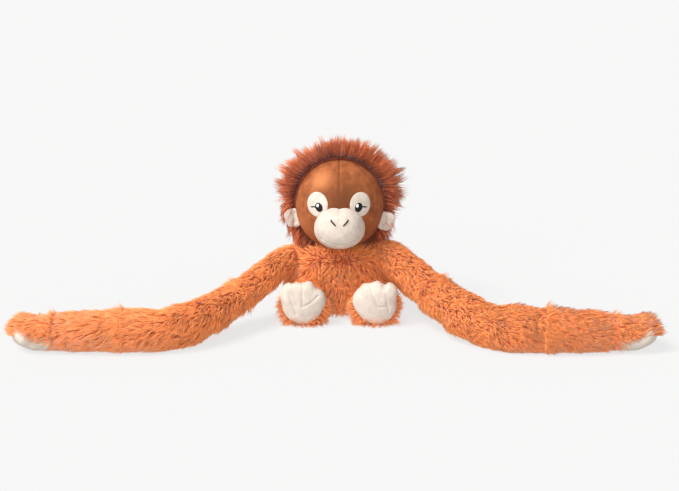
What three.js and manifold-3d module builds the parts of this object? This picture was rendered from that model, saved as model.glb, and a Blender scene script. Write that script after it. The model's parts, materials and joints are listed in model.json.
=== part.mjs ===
// A sitting plush orangutan with very long arms, in millimetres.
// +Z is up, the toy faces -Y and +X is its own left. The origin is the centre of its flat seat.
import * as THREE from "three";
import { mergeVertices } from "three/addons/utils/BufferGeometryUtils.js";
import Module from "manifold-3d";

const wasm = await Module();
wasm.setup();

// ---------------------------------------------------------------- driving dimensions

// Cloth and clearances
const GAP = 0.3; // between pieces that touch
const SWING_CLEARANCE = 1.2; // around each ball that turns in a socket
const PLUSH = 6; // long-pile body cloth, its pile half pressed
const VELBOA = 2.5; // short-pile cloth of the face, palms and soles
const MANE_PILE = 18; // long hair of the mane, half pressed
const MANE_CLOTH = 2; // the mane's cloth where it tucks under the head
const EMBROIDERY = 1; // height of a stitched feature
const PATCH = 1.6; // thickness of an appliqué patch

// Torso, a pear: how far its side lies inside its widest line, and at what heights
const TORSO_HEIGHT = 70;
const TORSO_HALF_WIDTH = 66.5;
const TORSO_HALF_DEPTH = 50;
const BELLY_HEIGHT = 36; // where the torso is widest
const SEAT_INSET = 12.5;
const LAP_INSET = 2;
const LAP_HEIGHT = 19;
const CHEST_INSET = 7;
const CHEST_HEIGHT = 54.5;
const NECK_INSET = 26.5;
const NECK_ROUNDING = 2; // the torso's top stands this much above its edge
const BASE_THICKNESS = 4;
const BASE_INSET = 9; // from the seat's edge to the base panel's edge
const BEAN_BAG_SIZE = new THREE.Vector3(60, 44, 18);
const BEAN_BAG_SETBACK = 10; // behind the middle of the seat

// Head, an egg
const HEAD_HALF = new THREE.Vector3(53, 49, 55);
const HEAD_ADVANCE = 8; // in front of the middle of the seat
const HEAD_STANDOFF = 6; // above the torso's top
const SEAM_SETBACK = 6; // the face seam lies this far in front of the head's middle
const MANE_HEM = 47; // the mane's hair ends this far below the head's middle
const NECK_RADIUS = 20;
const NECK_ADVANCE = 4;
const NECK_STANDOFF = 4; // the neck ball's centre stands this far above the torso's top

// Muzzle
const MUZZLE_HALF = new THREE.Vector3(29.5, 24, 24.5);
const MUZZLE_DROP = 20; // its middle lies below the head's middle
const MUZZLE_SINK = 1; // and this far behind the front of the face

// Eyes: places to the side of the head's middle, and above it
const EYE_PATCH_PLACE = new THREE.Vector2(26.5, 7);
const EYE_PATCH_SIZE = new THREE.Vector2(25, 29);
const EYE_PLACE = new THREE.Vector2(23.6, 4);
const EYE_SIZE = new THREE.Vector2(10, 12.5);
const EYE_LEAN = 20; // degrees, tops outward
const HIGHLIGHT_SIZE = new THREE.Vector2(3.5, 4.5);
const HIGHLIGHT_OFFSET = new THREE.Vector2(-1.6, 2.4); // towards the toy's right, and up
const LASH_SIZE = new THREE.Vector2(5.5, 1.2);
const NOSTRIL_INNER = new THREE.Vector2(4.2, 8.2); // from the muzzle's middle
const NOSTRIL_OUTER = new THREE.Vector2(9.9, 15.2);
const NOSTRIL_WIDTH = 1.2;

// Ears
const EAR_HALF = new THREE.Vector3(10, 3.4, 11.5);
const EAR_OUTSET = 4; // its middle lies this far outside the head's half width
const EAR_DROP = 19; // and this far below the head's middle

// Arms. Each is a limp tube that comes down from the shoulder and lies along the floor.
const SHOULDER_RADIUS = 11;
const SHOULDER_OUTSET = 0.5; // outside the chest's half width
const SHOULDER_ADVANCE = 15; // in front of the torso's middle
const SHOULDER_DROP = 6; // below the torso's top
const UPPER_ARM_RADIUS = 18;
const ELBOW_RADIUS = 23;
const FOREARM_RADIUS = 22;
const WRIST_RADIUS = 20;
const SHOULDER_TAPER = 45; // over this length the arm widens from its shoulder ball
const FOREARM_LENGTH = 134;
const FOREARM_BOW = 10;
const SOCKET_SETBACK = 0.92; // of the ball's radius, from the ball's centre back to the socket's rim
const ARM_SIDES = 12; // a multiple of 4, so that a corner meets the floor

// Hands, mittens that lie tipped on the floor
const HAND_LENGTH = 53;
const HAND_HALF_WIDTH = 23;
const HAND_HALF_THICKNESS = 16;
const HAND_BALL_RADIUS = 14;
const HAND_ROLL = 10; // degrees, the palm turned down and a little forward
const FINGERTIP_HEIGHT = 24;
const THUMB_HALF = new THREE.Vector3(11, 7, 6.5);

// How each arm lies: degrees forward of straight out to the side, the way along the floor from
// shoulder to elbow, and how far the upper arm sags between them
const ARM_POSES = {
  right: { side: -1, upper: 50.5, forearm: 6, hand: -10, reach: 175, sag: 11 },
  left: { side: 1, upper: 52.5, forearm: 8, hand: -14, reach: 166, sag: 4 },
};

// Legs and feet
const LEG_RADIUS = 26;
const HIP_INSET = 0.5; // the leg's outer side lies this far inside the torso's widest line
const HIP_STANDOFF = 9; // the hip ball's centre lies this far in front of the belly
const LEG_LENGTH = 20;
const FOOT_OUTSET = 2.5;
const SOLE_HALF = new THREE.Vector3(24, 15, 23);
const TOE_HALF = new THREE.Vector3(8.5, 11, 11);
const TOE_SPREAD = 13; // between neighbouring toes
const TOE_COUNT = 3;
const BIG_TOE_HALF = new THREE.Vector3(10, 12, 13);

// ---------------------------------------------------------------- derived places

const SEAT_HALF_WIDTH = TORSO_HALF_WIDTH - SEAT_INSET;
const CHEST_HALF_WIDTH = TORSO_HALF_WIDTH - CHEST_INSET;
const HEAD_CENTRE = new THREE.Vector3(0, -HEAD_ADVANCE, TORSO_HEIGHT + HEAD_STANDOFF + HEAD_HALF.z);
const NECK_PIVOT = new THREE.Vector3(0, -NECK_ADVANCE, TORSO_HEIGHT + NECK_STANDOFF);
const MUZZLE_CENTRE = new THREE.Vector3(0, MUZZLE_SINK - HEAD_HALF.y, -MUZZLE_DROP);
const EAR_PLACE = new THREE.Vector3(
  HEAD_HALF.x + EAR_OUTSET,
  -SEAM_SETBACK - 2 * GAP - EAR_HALF.y,
  -EAR_DROP,
);
const SHOULDER = new THREE.Vector3(
  CHEST_HALF_WIDTH + SHOULDER_OUTSET,
  -SHOULDER_ADVANCE,
  TORSO_HEIGHT - SHOULDER_DROP,
);
const HIP_SPREAD = TORSO_HALF_WIDTH - HIP_INSET - LEG_RADIUS;
const BELLY_AT_HIP = TORSO_HALF_DEPTH * Math.sqrt(1 - (HIP_SPREAD / TORSO_HALF_WIDTH) ** 2);
const HIP = new THREE.Vector3(HIP_SPREAD, -BELLY_AT_HIP - HIP_STANDOFF, LEG_RADIUS);

// Roundness: faces round a solid of revolution and from pole to pole
const HEAD_FACETS = [18, 12];
const TORSO_FACETS = 20;
const MUZZLE_FACETS = [14, 9];
const SMALL_FACETS = [14, 8];
const TOE_FACETS = [9, 6];
const BALL_FACETS = [16, 10];
const ROD_FACETS = 14;
const ROD_LENGTH = 20;

// ---------------------------------------------------------------- colours

const cloth = (color, roughness = 0.95) =>
  new THREE.MeshStandardMaterial({ color, roughness, metalness: 0 });

const MATERIALS = {
  plush: cloth(0xe8813f),
  mane: cloth(0x9a4a24),
  face: cloth(0xb06a38),
  cream: cloth(0xf2e6d8),
  thread_black: cloth(0x0c0b0b, 0.55),
  thread_white: cloth(0xfbfbfb, 0.6),
  fibre: cloth(0xf4f4f2),
  pouch: cloth(0xd9d4c8),
};

// ---------------------------------------------------------------- solids

/** A three.js geometry, moved by a matrix, as a manifold-3d solid. */
function solidOf(geometry, matrix = new THREE.Matrix4()) {
  const bare = new THREE.BufferGeometry();
  bare.setAttribute("position", geometry.getAttribute("position"));
  bare.setIndex(geometry.index);
  const merged = mergeVertices(bare.applyMatrix4(matrix), 1e-4);
  return new wasm.Manifold(
    new wasm.Mesh({
      numProp: 3,
      vertProperties: merged.attributes.position.array,
      triVerts: new Uint32Array(merged.index.array),
    }),
  );
}

/** A manifold-3d solid as a flat-shaded three.js geometry. */
function geometryOf(solid) {
  const mesh = solid.getMesh();
  const points = new THREE.BufferGeometry();
  points.setAttribute("position", new THREE.BufferAttribute(mesh.vertProperties, 3));
  points.setIndex(new THREE.BufferAttribute(mesh.triVerts, 1));
  const flat = points.toNonIndexed();
  flat.computeVertexNormals();
  return flat;
}

function node(name, solid, material) {
  const mesh = new THREE.Mesh(geometryOf(solid), material);
  mesh.name = name;
  return mesh;
}

const moved = (place) => new THREE.Matrix4().makeTranslation(place);

/** An ellipsoid with its poles along Z. */
function ellipsoid(half, place = new THREE.Vector3(), facets = SMALL_FACETS) {
  const sphere = new THREE.SphereGeometry(1, facets[0], facets[1]).rotateX(Math.PI / 2);
  return solidOf(sphere, moved(place).scale(half));
}

/** A round solid that stands clear of a ball of the given radius by the swing clearance. */
function socket(radius, place) {
  const reach = radius + SWING_CLEARANCE;
  return ellipsoid(new THREE.Vector3(reach, reach, reach), place, BALL_FACETS);
}

/** A half size grown, or shrunk, by the same amount on each axis. */
const grown = (half, amount) => half.clone().addScalar(amount);

/** A block big enough to cut away everything beyond a plane, on the side its normal faces. */
function beyond(point, normal) {
  const far = 1000;
  const turn = new THREE.Quaternion().setFromUnitVectors(
    new THREE.Vector3(0, 0, 1),
    normal.clone().normalize(),
  );
  const matrix = moved(point).multiply(new THREE.Matrix4().makeRotationFromQuaternion(turn));
  return solidOf(new THREE.BoxGeometry(far, far, far).translate(0, 0, far / 2), matrix);
}

/** A closed tube through rings of points, each end closed by a fan to its tip. */
function loft(rings, firstTip, lastTip) {
  const sides = rings[0].length;
  const points = [...rings.flat(), firstTip, lastTip];
  const faces = [];
  const at = (ring, side) => ring * sides + (side % sides);
  const last = rings.length - 1;
  for (let side = 0; side < sides; side++) {
    for (let ring = 0; ring < last; ring++) {
      faces.push(at(ring, side), at(ring, side + 1), at(ring + 1, side));
      faces.push(at(ring, side + 1), at(ring + 1, side + 1), at(ring + 1, side));
    }
    faces.push(points.length - 2, at(0, side + 1), at(0, side));
    faces.push(points.length - 1, at(last, side), at(last, side + 1));
  }
  const geometry = new THREE.BufferGeometry().setFromPoints(points);
  geometry.setIndex(faces);
  return solidOf(geometry);
}

/** An oval of points about a centre, square to a direction and rolled about it. */
function ovalRing(centre, direction, halfWidth, halfHeight, roll = 0) {
  const sideways = new THREE.Vector3().crossVectors(new THREE.Vector3(0, 0, 1), direction);
  sideways.normalize().applyAxisAngle(direction, roll);
  const upward = new THREE.Vector3().crossVectors(direction, sideways);
  return Array.from({ length: ARM_SIDES }, (_, side) => {
    const angle = (2 * Math.PI * side) / ARM_SIDES;
    return centre
      .clone()
      .addScaledVector(sideways, halfWidth * Math.cos(angle))
      .addScaledVector(upward, halfHeight * Math.sin(angle));
  });
}

const ROUND_END = [25, 50, 72]; // degrees from the pole of a round end

/** A tube along a curve: a ball at its start, then oval stations, and a flat or round end. */
function limb(curve, stations, { endRound = false, shrink = 0 } = {}) {
  const start = curve.getPointAt(0);
  const startDirection = curve.getTangentAt(0);
  const ball = stations[0].halfWidth - shrink;
  const rings = [];
  for (const degrees of ROUND_END) {
    const angle = THREE.MathUtils.degToRad(degrees);
    const centre = start.clone().addScaledVector(startDirection, -ball * Math.cos(angle));
    const radius = ball * Math.sin(angle);
    rings.push(ovalRing(centre, startDirection, radius, radius, stations[0].roll));
  }
  for (const { at, halfWidth, halfHeight, roll } of stations) {
    const centre = curve.getPointAt(at);
    const direction = curve.getTangentAt(at);
    rings.push(ovalRing(centre, direction, halfWidth - shrink, halfHeight - shrink, roll));
  }
  const lastStation = stations.at(-1);
  const endDirection = curve.getTangentAt(lastStation.at);
  let lastTip = curve.getPointAt(lastStation.at);
  if (endRound) {
    const bulge = lastStation.halfHeight - shrink;
    for (const degrees of ROUND_END.toReversed()) {
      const angle = THREE.MathUtils.degToRad(degrees);
      const centre = lastTip.clone().addScaledVector(endDirection, bulge * Math.cos(angle));
      const share = Math.sin(angle);
      rings.push(
        ovalRing(
          centre,
          endDirection,
          (lastStation.halfWidth - shrink) * share,
          bulge * share,
          lastStation.roll,
        ),
      );
    }
    lastTip = lastTip.clone().addScaledVector(endDirection, bulge);
  }
  return loft(rings, start.clone().addScaledVector(startDirection, -ball), lastTip);
}

// ---------------------------------------------------------------- torso

/** The pear, its surface moved inwards by an inset. */
function torsoShape(inset) {
  const profile = new THREE.SplineCurve([
    new THREE.Vector2(SEAT_HALF_WIDTH - inset, inset),
    new THREE.Vector2(TORSO_HALF_WIDTH - LAP_INSET - inset, LAP_HEIGHT),
    new THREE.Vector2(TORSO_HALF_WIDTH - inset, BELLY_HEIGHT),
    new THREE.Vector2(CHEST_HALF_WIDTH - inset, CHEST_HEIGHT),
    new THREE.Vector2(
      TORSO_HALF_WIDTH - NECK_INSET - inset,
      TORSO_HEIGHT - NECK_ROUNDING - inset,
    ),
  ]);
  const outline = [
    new THREE.Vector2(0, inset),
    ...profile.getPoints(7),
    new THREE.Vector2(0, TORSO_HEIGHT - inset),
  ];
  const lathe = new THREE.LatheGeometry(outline, TORSO_FACETS).rotateX(Math.PI / 2);
  const depthShare = (TORSO_HALF_DEPTH - inset) / (TORSO_HALF_WIDTH - inset);
  return solidOf(lathe, new THREE.Matrix4().makeScale(1, depthShare, 1));
}

/** Everything that turns in the torso: the neck, shoulder and hip balls, with their clearance. */
function torsoSockets() {
  let sockets = socket(NECK_RADIUS, NECK_PIVOT);
  for (const side of [-1, 1]) {
    sockets = sockets
      .add(socket(SHOULDER_RADIUS, mirrored(SHOULDER, side)))
      .add(socket(LEG_RADIUS, mirrored(HIP, side)));
  }
  return sockets;
}

const mirrored = (place, side) => new THREE.Vector3(side * place.x, place.y, place.z);

/** An oval slab standing on Z = bottom, with the torso's plan shape. */
function ovalSlab(halfWidth, halfDepth, bottom, top) {
  const slab = new THREE.CylinderGeometry(1, 1, top - bottom, TORSO_FACETS).rotateX(Math.PI / 2);
  const place = new THREE.Vector3(0, 0, (top + bottom) / 2);
  return solidOf(slab, moved(place).scale(new THREE.Vector3(halfWidth, halfDepth, 1)));
}

function buildTorso() {
  const group = new THREE.Group();
  const sockets = torsoSockets();
  const seatHalfDepth = (SEAT_HALF_WIDTH * TORSO_HALF_DEPTH) / TORSO_HALF_WIDTH;
  const baseHalf = [SEAT_HALF_WIDTH - BASE_INSET, seatHalfDepth - BASE_INSET];
  const baseHole = ovalSlab(baseHalf[0] + GAP, baseHalf[1] + GAP, -1, PLUSH + 1);
  const shell = torsoShape(0).subtract(torsoShape(PLUSH)).subtract(sockets).subtract(baseHole);
  const front = new THREE.Vector3(0, -1, 0);
  const back = new THREE.Vector3(0, 1, 0);
  const seamFront = new THREE.Vector3(0, -GAP / 2, 0);
  const seamBack = new THREE.Vector3(0, GAP / 2, 0);
  group.add(
    node("torso_front_skin", shell.intersect(beyond(seamFront, front)), MATERIALS.plush),
    node("torso_back_skin", shell.intersect(beyond(seamBack, back)), MATERIALS.plush),
    node(
      "base_panel",
      ovalSlab(baseHalf[0], baseHalf[1], 0, BASE_THICKNESS).subtract(sockets),
      MATERIALS.plush,
    ),
  );

  const bagHalf = BEAN_BAG_SIZE.clone().divideScalar(2);
  const bagFloor = PLUSH + GAP;
  const bagPlace = new THREE.Vector3(0, BEAN_BAG_SETBACK, bagFloor + bagHalf.z);
  const pocketHalf = grown(bagHalf, GAP);
  const pocketMouth = ovalSlab(pocketHalf.x, pocketHalf.y, 0, bagPlace.z).translate(
    0,
    BEAN_BAG_SETBACK,
    0,
  );
  const stuffing = torsoShape(PLUSH + GAP)
    .subtract(sockets)
    .subtract(ellipsoid(pocketHalf, bagPlace))
    .subtract(pocketMouth);
  group.add(
    node("torso_stuffing", stuffing, MATERIALS.fibre),
    node("bean_bag", ellipsoid(bagHalf, bagPlace), MATERIALS.pouch),
  );
  return group;
}

// ---------------------------------------------------------------- head

const skull = (offset) =>
  ellipsoid(grown(HEAD_HALF, offset), new THREE.Vector3(), HEAD_FACETS);
const muzzle = (offset) => ellipsoid(grown(MUZZLE_HALF, offset), MUZZLE_CENTRE, MUZZLE_FACETS);

/** A layer of the skull between two heights above the face. */
const faceLayer = (bottom, top) => skull(top).subtract(skull(bottom));

/** The place on the face that lies so far to the side of the head's middle and so far above it. */
function onFace({ x, y }, side) {
  const depth = Math.sqrt(1 - (x / HEAD_HALF.x) ** 2 - (y / HEAD_HALF.z) ** 2);
  return new THREE.Vector3(side * x, -HEAD_HALF.y * depth, y);
}

/** The direction square to the skull at a place on it. */
function skullNormal(place) {
  return place.clone().divide(HEAD_HALF).divide(HEAD_HALF).normalize();
}

/** An oval rod through a place on the skull, square to it, leaning tops outward. */
function ovalRod(place, size, lean, offset = new THREE.Vector2()) {
  const outward = skullNormal(place);
  const up = new THREE.Vector3(0, 0, 1);
  const sideways = new THREE.Vector3().crossVectors(up, outward).normalize();
  const upward = new THREE.Vector3().crossVectors(outward, sideways);
  const turn = new THREE.Matrix4().makeBasis(sideways, upward, outward);
  const centre = place
    .clone()
    .addScaledVector(sideways, offset.x)
    .addScaledVector(upward, offset.y);
  const rod = new THREE.CylinderGeometry(1, 1, ROD_LENGTH, ROD_FACETS).rotateX(Math.PI / 2);
  const matrix = moved(centre)
    .multiply(turn)
    .multiply(new THREE.Matrix4().makeRotationZ(lean))
    .scale(new THREE.Vector3(size.x / 2, size.y / 2, 1));
  return solidOf(rod, matrix);
}

function eyePieces(sideName, side) {
  const patchTop = GAP + PATCH;
  const eyeBottom = patchTop + GAP;
  const eyeTop = eyeBottom + EMBROIDERY;
  const glintBottom = eyeTop + GAP;
  const lean = THREE.MathUtils.degToRad(-side * EYE_LEAN);
  const place = onFace(EYE_PLACE, side);
  const patchRod = ovalRod(onFace(EYE_PATCH_PLACE, side), EYE_PATCH_SIZE, lean);
  const patch = faceLayer(GAP, patchTop).intersect(patchRod).subtract(muzzle(GAP));
  const eye = faceLayer(eyeBottom, eyeTop)
    .intersect(ovalRod(place, EYE_SIZE, lean))
    .subtract(muzzle(GAP));
  const glintRod = ovalRod(place, HIGHLIGHT_SIZE, lean, HIGHLIGHT_OFFSET);
  const glint = faceLayer(glintBottom, glintBottom + EMBROIDERY).intersect(glintRod);
  const lashReach = side * (EYE_SIZE.x / 2 + 2 * GAP + LASH_SIZE.x / 2);
  const lashRod = ovalRod(place, LASH_SIZE, 0, new THREE.Vector2(lashReach, 0));
  const lash = faceLayer(eyeBottom, eyeTop).intersect(lashRod);
  return [
    node(`eye_patch_${sideName}`, patch, MATERIALS.cream),
    node(`eye_${sideName}`, eye, MATERIALS.thread_black),
    node(`eye_highlight_${sideName}`, glint, MATERIALS.thread_white),
    node(`lash_stitch_${sideName}`, lash, MATERIALS.thread_black),
  ];
}

function nostril(sideName, side) {
  const run = NOSTRIL_OUTER.clone().sub(NOSTRIL_INNER);
  const middle = NOSTRIL_OUTER.clone().add(NOSTRIL_INNER).divideScalar(2);
  const depth = 2 * MUZZLE_HALF.y;
  const bar = new THREE.BoxGeometry(run.length(), depth, NOSTRIL_WIDTH);
  const offset = new THREE.Vector3(side * middle.x, -depth / 2, middle.y);
  const matrix = moved(offset.add(MUZZLE_CENTRE));
  matrix.multiply(new THREE.Matrix4().makeRotationY(-side * run.angle()));
  const layer = muzzle(GAP + EMBROIDERY).subtract(muzzle(GAP));
  return node(
    `nostril_stitch_${sideName}`,
    layer.intersect(solidOf(bar, matrix)),
    MATERIALS.thread_black,
  );
}

function ear(sideName, side) {
  const pad = ellipsoid(EAR_HALF, mirrored(EAR_PLACE, side)).subtract(skull(GAP));
  return node(`ear_${sideName}`, pad, MATERIALS.cream);
}

function buildHead() {
  const group = new THREE.Group();
  group.position.copy(HEAD_CENTRE);
  const neckPlace = NECK_PIVOT.clone().sub(HEAD_CENTRE);
  const neckHalf = new THREE.Vector3(NECK_RADIUS, NECK_RADIUS, NECK_RADIUS);
  const neckBall = ellipsoid(neckHalf, neckPlace, BALL_FACETS);
  const neckHole = ellipsoid(grown(neckHalf, GAP), neckPlace, BALL_FACETS);
  const inside = skull(-VELBOA).add(neckHole);

  const hemPlane = new THREE.Vector3(0, 0, -MANE_HEM);
  const hair = skull(MANE_PILE).intersect(beyond(hemPlane, new THREE.Vector3(0, 0, 1)));
  const maneShell = skull(MANE_CLOTH).add(hair).subtract(inside);
  const faceShell = skull(0).subtract(inside);
  const faceSide = new THREE.Vector3(0, -1, 0);
  const maneSide = new THREE.Vector3(0, 1, 0);
  const faceEdge = new THREE.Vector3(0, -SEAM_SETBACK - GAP / 2, 0);
  const maneEdge = new THREE.Vector3(0, -SEAM_SETBACK + GAP / 2, 0);
  const face = faceShell.intersect(beyond(faceEdge, faceSide));
  const mane = maneShell.intersect(beyond(maneEdge, maneSide));

  for (const [sideName, side] of [["right", -1], ["left", 1]]) {
    const half = beyond(new THREE.Vector3((side * GAP) / 2, 0, 0), new THREE.Vector3(side, 0, 0));
    group.add(
      node(`face_panel_${sideName}`, face.intersect(half), MATERIALS.face),
      node(`mane_panel_${sideName}`, mane.intersect(half), MATERIALS.mane),
      ...eyePieces(sideName, side),
      nostril(sideName, side),
      ear(sideName, side),
    );
  }

  const muzzleSkin = muzzle(0).subtract(muzzle(-VELBOA)).subtract(skull(GAP));
  const muzzleStuffing = muzzle(-VELBOA - GAP).subtract(skull(GAP));
  group.add(
    node("head_stuffing", skull(-VELBOA - GAP).add(neckBall), MATERIALS.fibre),
    node("muzzle_skin", muzzleSkin, MATERIALS.cream),
    node("muzzle_stuffing", muzzleStuffing, MATERIALS.fibre),
  );
  return group;
}

// ---------------------------------------------------------------- arms

/** A unit vector along the floor, some degrees forward of straight out to one side. */
function outwards(side, degreesForward) {
  const angle = THREE.MathUtils.degToRad(degreesForward);
  return new THREE.Vector3(side * Math.cos(angle), -Math.sin(angle), 0);
}

/** The places that one arm runs through, in the toy's frame. */
function armPlaces({ side, upper, forearm, hand, reach, sag }) {
  const shoulder = mirrored(SHOULDER, side);
  const elbow = shoulder.clone().addScaledVector(outwards(side, upper), reach);
  elbow.z = ELBOW_RADIUS;
  const upperMiddle = shoulder.clone().lerp(elbow, 0.5);
  upperMiddle.z -= sag;
  const wrist = elbow.clone().addScaledVector(outwards(side, forearm), FOREARM_LENGTH);
  wrist.z = WRIST_RADIUS;
  const foreMiddle = elbow.clone().lerp(wrist, 0.5);
  foreMiddle.y -= FOREARM_BOW;
  foreMiddle.z = FOREARM_RADIUS;
  const fingertip = wrist.clone().addScaledVector(outwards(side, hand), HAND_LENGTH);
  const roll = THREE.MathUtils.degToRad(HAND_ROLL);
  const restHeight = Math.hypot(
    HAND_HALF_WIDTH * Math.sin(roll),
    HAND_HALF_THICKNESS * Math.cos(roll),
  );
  fingertip.z = FINGERTIP_HEIGHT;
  const palmMiddle = wrist.clone().lerp(fingertip, 0.5).setZ(restHeight);
  return { shoulder, upperMiddle, elbow, foreMiddle, wrist, palmMiddle, fingertip };
}

/** A skin tube with its stuffing, a ball at the start and a socket for the next ball at the end. */
function sleeve(curve, stations, nextBall) {
  const skin = limb(curve, stations)
    .subtract(limb(curve, [...stations, pastEnd(stations)], { shrink: PLUSH }))
    .subtract(nextBall);
  const stuffing = limb(curve, stations, { shrink: PLUSH + GAP }).subtract(nextBall);
  return { skin, stuffing };
}

/** A station just past the last one, so that a cavity runs out through the open end. */
function pastEnd(stations) {
  const last = stations.at(-1);
  return { ...last, at: (last.at + 1) / 2 };
}

function buildArm(sideName) {
  const places = armPlaces(ARM_POSES[sideName]);
  const { shoulder, upperMiddle, elbow, foreMiddle, wrist, palmMiddle, fingertip } = places;
  const group = new THREE.Group();
  group.position.copy(shoulder);
  const local = (place) => place.clone().sub(shoulder);
  const round = (at, radius) => ({ at, halfWidth: radius, halfHeight: radius });

  const upperCurve = new THREE.CatmullRomCurve3([shoulder, upperMiddle, elbow].map(local));
  const taperEnd = SHOULDER_TAPER / upperCurve.getLength();
  const upperEnd = 1 - (SOCKET_SETBACK * ELBOW_RADIUS) / upperCurve.getLength();
  const upper = sleeve(
    upperCurve,
    [
      round(0, SHOULDER_RADIUS),
      round(taperEnd / 2, (SHOULDER_RADIUS + UPPER_ARM_RADIUS) / 2),
      round(taperEnd, UPPER_ARM_RADIUS),
      round(0.55, (UPPER_ARM_RADIUS + ELBOW_RADIUS) / 2),
      round(upperEnd, ELBOW_RADIUS),
    ],
    socket(ELBOW_RADIUS, local(elbow)),
  );

  const foreCurve = new THREE.CatmullRomCurve3([elbow, foreMiddle, wrist].map(local));
  const foreEnd = 1 - (SOCKET_SETBACK * HAND_BALL_RADIUS) / foreCurve.getLength();
  const fore = sleeve(
    foreCurve,
    [
      round(0, ELBOW_RADIUS),
      round(0.25, (ELBOW_RADIUS + FOREARM_RADIUS) / 2),
      round(0.5, FOREARM_RADIUS),
      round(foreEnd, WRIST_RADIUS),
    ],
    socket(HAND_BALL_RADIUS, local(wrist)),
  );

  const aboveFloor = beyond(new THREE.Vector3(0, 0, -shoulder.z), new THREE.Vector3(0, 0, 1));
  group.add(
    node(`upper_arm_skin_${sideName}`, upper.skin.intersect(aboveFloor), MATERIALS.plush),
    node(`upper_arm_stuffing_${sideName}`, upper.stuffing, MATERIALS.fibre),
    node(`forearm_skin_${sideName}`, fore.skin.intersect(aboveFloor), MATERIALS.plush),
    node(`forearm_stuffing_${sideName}`, fore.stuffing, MATERIALS.fibre),
    ...handPieces(sideName, local(wrist), local(palmMiddle), local(fingertip), aboveFloor),
  );
  return group;
}

/** The hand's pieces, their places measured from the shoulder. */
function handPieces(sideName, wrist, palmMiddle, fingertip, aboveFloor) {
  const { side } = ARM_POSES[sideName];
  const roll = THREE.MathUtils.degToRad(-side * HAND_ROLL);
  const curve = new THREE.CatmullRomCurve3([wrist, palmMiddle, fingertip]);
  const oval = (at, widthShare, thicknessShare) => ({
    at,
    halfWidth: HAND_HALF_WIDTH * widthShare,
    halfHeight: HAND_HALF_THICKNESS * thicknessShare,
    roll,
  });
  const stations = [
    { at: 0, halfWidth: HAND_BALL_RADIUS, halfHeight: HAND_BALL_RADIUS, roll },
    oval(0.25, 0.8, 1),
    oval(0.5, 1, 1),
    oval(0.75, 0.92, 0.85),
    oval(0.87, 0.72, 0.7),
  ];
  const shape = (shrink) => limb(curve, stations, { endRound: true, shrink });

  const reach = fingertip.clone().sub(wrist).setZ(0).normalize();
  const backward = new THREE.Vector3(0, 0, 1).applyAxisAngle(reach, roll);
  const palmward = backward.clone().negate();
  const seam = (normal) => palmMiddle.clone().addScaledVector(normal, GAP / 2);
  const back = shape(0).subtract(shape(VELBOA)).intersect(beyond(seam(backward), backward));

  const thumbwards = new THREE.Vector3().crossVectors(reach, backward);
  thumbwards.multiplyScalar(side);
  const thumbPlace = wrist
    .clone()
    .lerp(fingertip, 0.55)
    .setZ(palmMiddle.z)
    .addScaledVector(thumbwards, HAND_HALF_WIDTH - THUMB_HALF.y)
    .addScaledVector(palmward, HAND_HALF_THICKNESS - THUMB_HALF.z / 2);
  const thumbTurn = new THREE.Matrix4().makeBasis(reach, backward.clone().cross(reach), backward);
  const thumbMatrix = moved(thumbPlace).multiply(thumbTurn).scale(THUMB_HALF);
  const thumb = solidOf(new THREE.SphereGeometry(1, ...TOE_FACETS), thumbMatrix);
  const palm = shape(0)
    .intersect(beyond(seam(palmward), palmward))
    .add(thumb.intersect(beyond(seam(palmward), palmward)))
    .subtract(shape(VELBOA))
    .intersect(aboveFloor);
  return [
    node(`hand_back_${sideName}`, back, MATERIALS.plush),
    node(`palm_${sideName}`, palm, MATERIALS.cream),
    node(`hand_stuffing_${sideName}`, shape(VELBOA + GAP), MATERIALS.fibre),
  ];
}

// ---------------------------------------------------------------- legs

/** A sole with three toes on top and a big toe on its inner side. */
function footShape(side, place, offset) {
  const heel = place.clone();
  let foot = ellipsoid(grown(SOLE_HALF, offset), heel);
  for (let toe = 0; toe < TOE_COUNT; toe++) {
    const across = (toe - (TOE_COUNT - 1) / 2) * TOE_SPREAD + TOE_SPREAD / 3;
    const tip = place.clone();
    tip.x += side * across;
    tip.z += SOLE_HALF.z - TOE_HALF.z / 2;
    foot = foot.add(ellipsoid(grown(TOE_HALF, offset), tip, TOE_FACETS));
  }
  const bigToe = place.clone();
  bigToe.x -= side * (SOLE_HALF.x - BIG_TOE_HALF.x / 2);
  bigToe.z += SOLE_HALF.z / 3;
  return foot.add(ellipsoid(grown(BIG_TOE_HALF, offset), bigToe, TOE_FACETS));
}

function buildLeg(sideName, side) {
  const group = new THREE.Group();
  group.position.copy(mirrored(HIP, side));
  const start = new THREE.Vector3();
  const end = new THREE.Vector3(0, -LEG_LENGTH, 0);
  const curve = new THREE.LineCurve3(start, end);
  const round = (at) => ({ at, halfWidth: LEG_RADIUS, halfHeight: LEG_RADIUS });
  const stations = [round(0), round(1)];
  const cavityCurve = new THREE.LineCurve3(start, end.clone().multiplyScalar(2));
  const cavity = limb(cavityCurve, stations, { shrink: PLUSH });
  group.add(
    node(`leg_skin_${sideName}`, limb(curve, stations).subtract(cavity), MATERIALS.plush),
    node(
      `leg_stuffing_${sideName}`,
      limb(curve, stations, { shrink: PLUSH + GAP }),
      MATERIALS.fibre,
    ),
  );

  const ankle = new THREE.Vector3(0, -LEG_LENGTH - GAP, 0);
  const inFront = beyond(ankle, new THREE.Vector3(0, -1, 0));
  const place = ankle.clone();
  place.x += side * FOOT_OUTSET;
  place.z = SOLE_HALF.z - HIP.z;
  const shape = (offset) => footShape(side, place, offset);
  group.add(
    node(
      `foot_skin_${sideName}`,
      shape(0).subtract(shape(-VELBOA)).intersect(inFront),
      MATERIALS.cream,
    ),
    node(`foot_stuffing_${sideName}`, shape(-VELBOA - GAP).intersect(inFront), MATERIALS.fibre),
  );
  return group;
}

// ---------------------------------------------------------------- assembly

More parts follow.
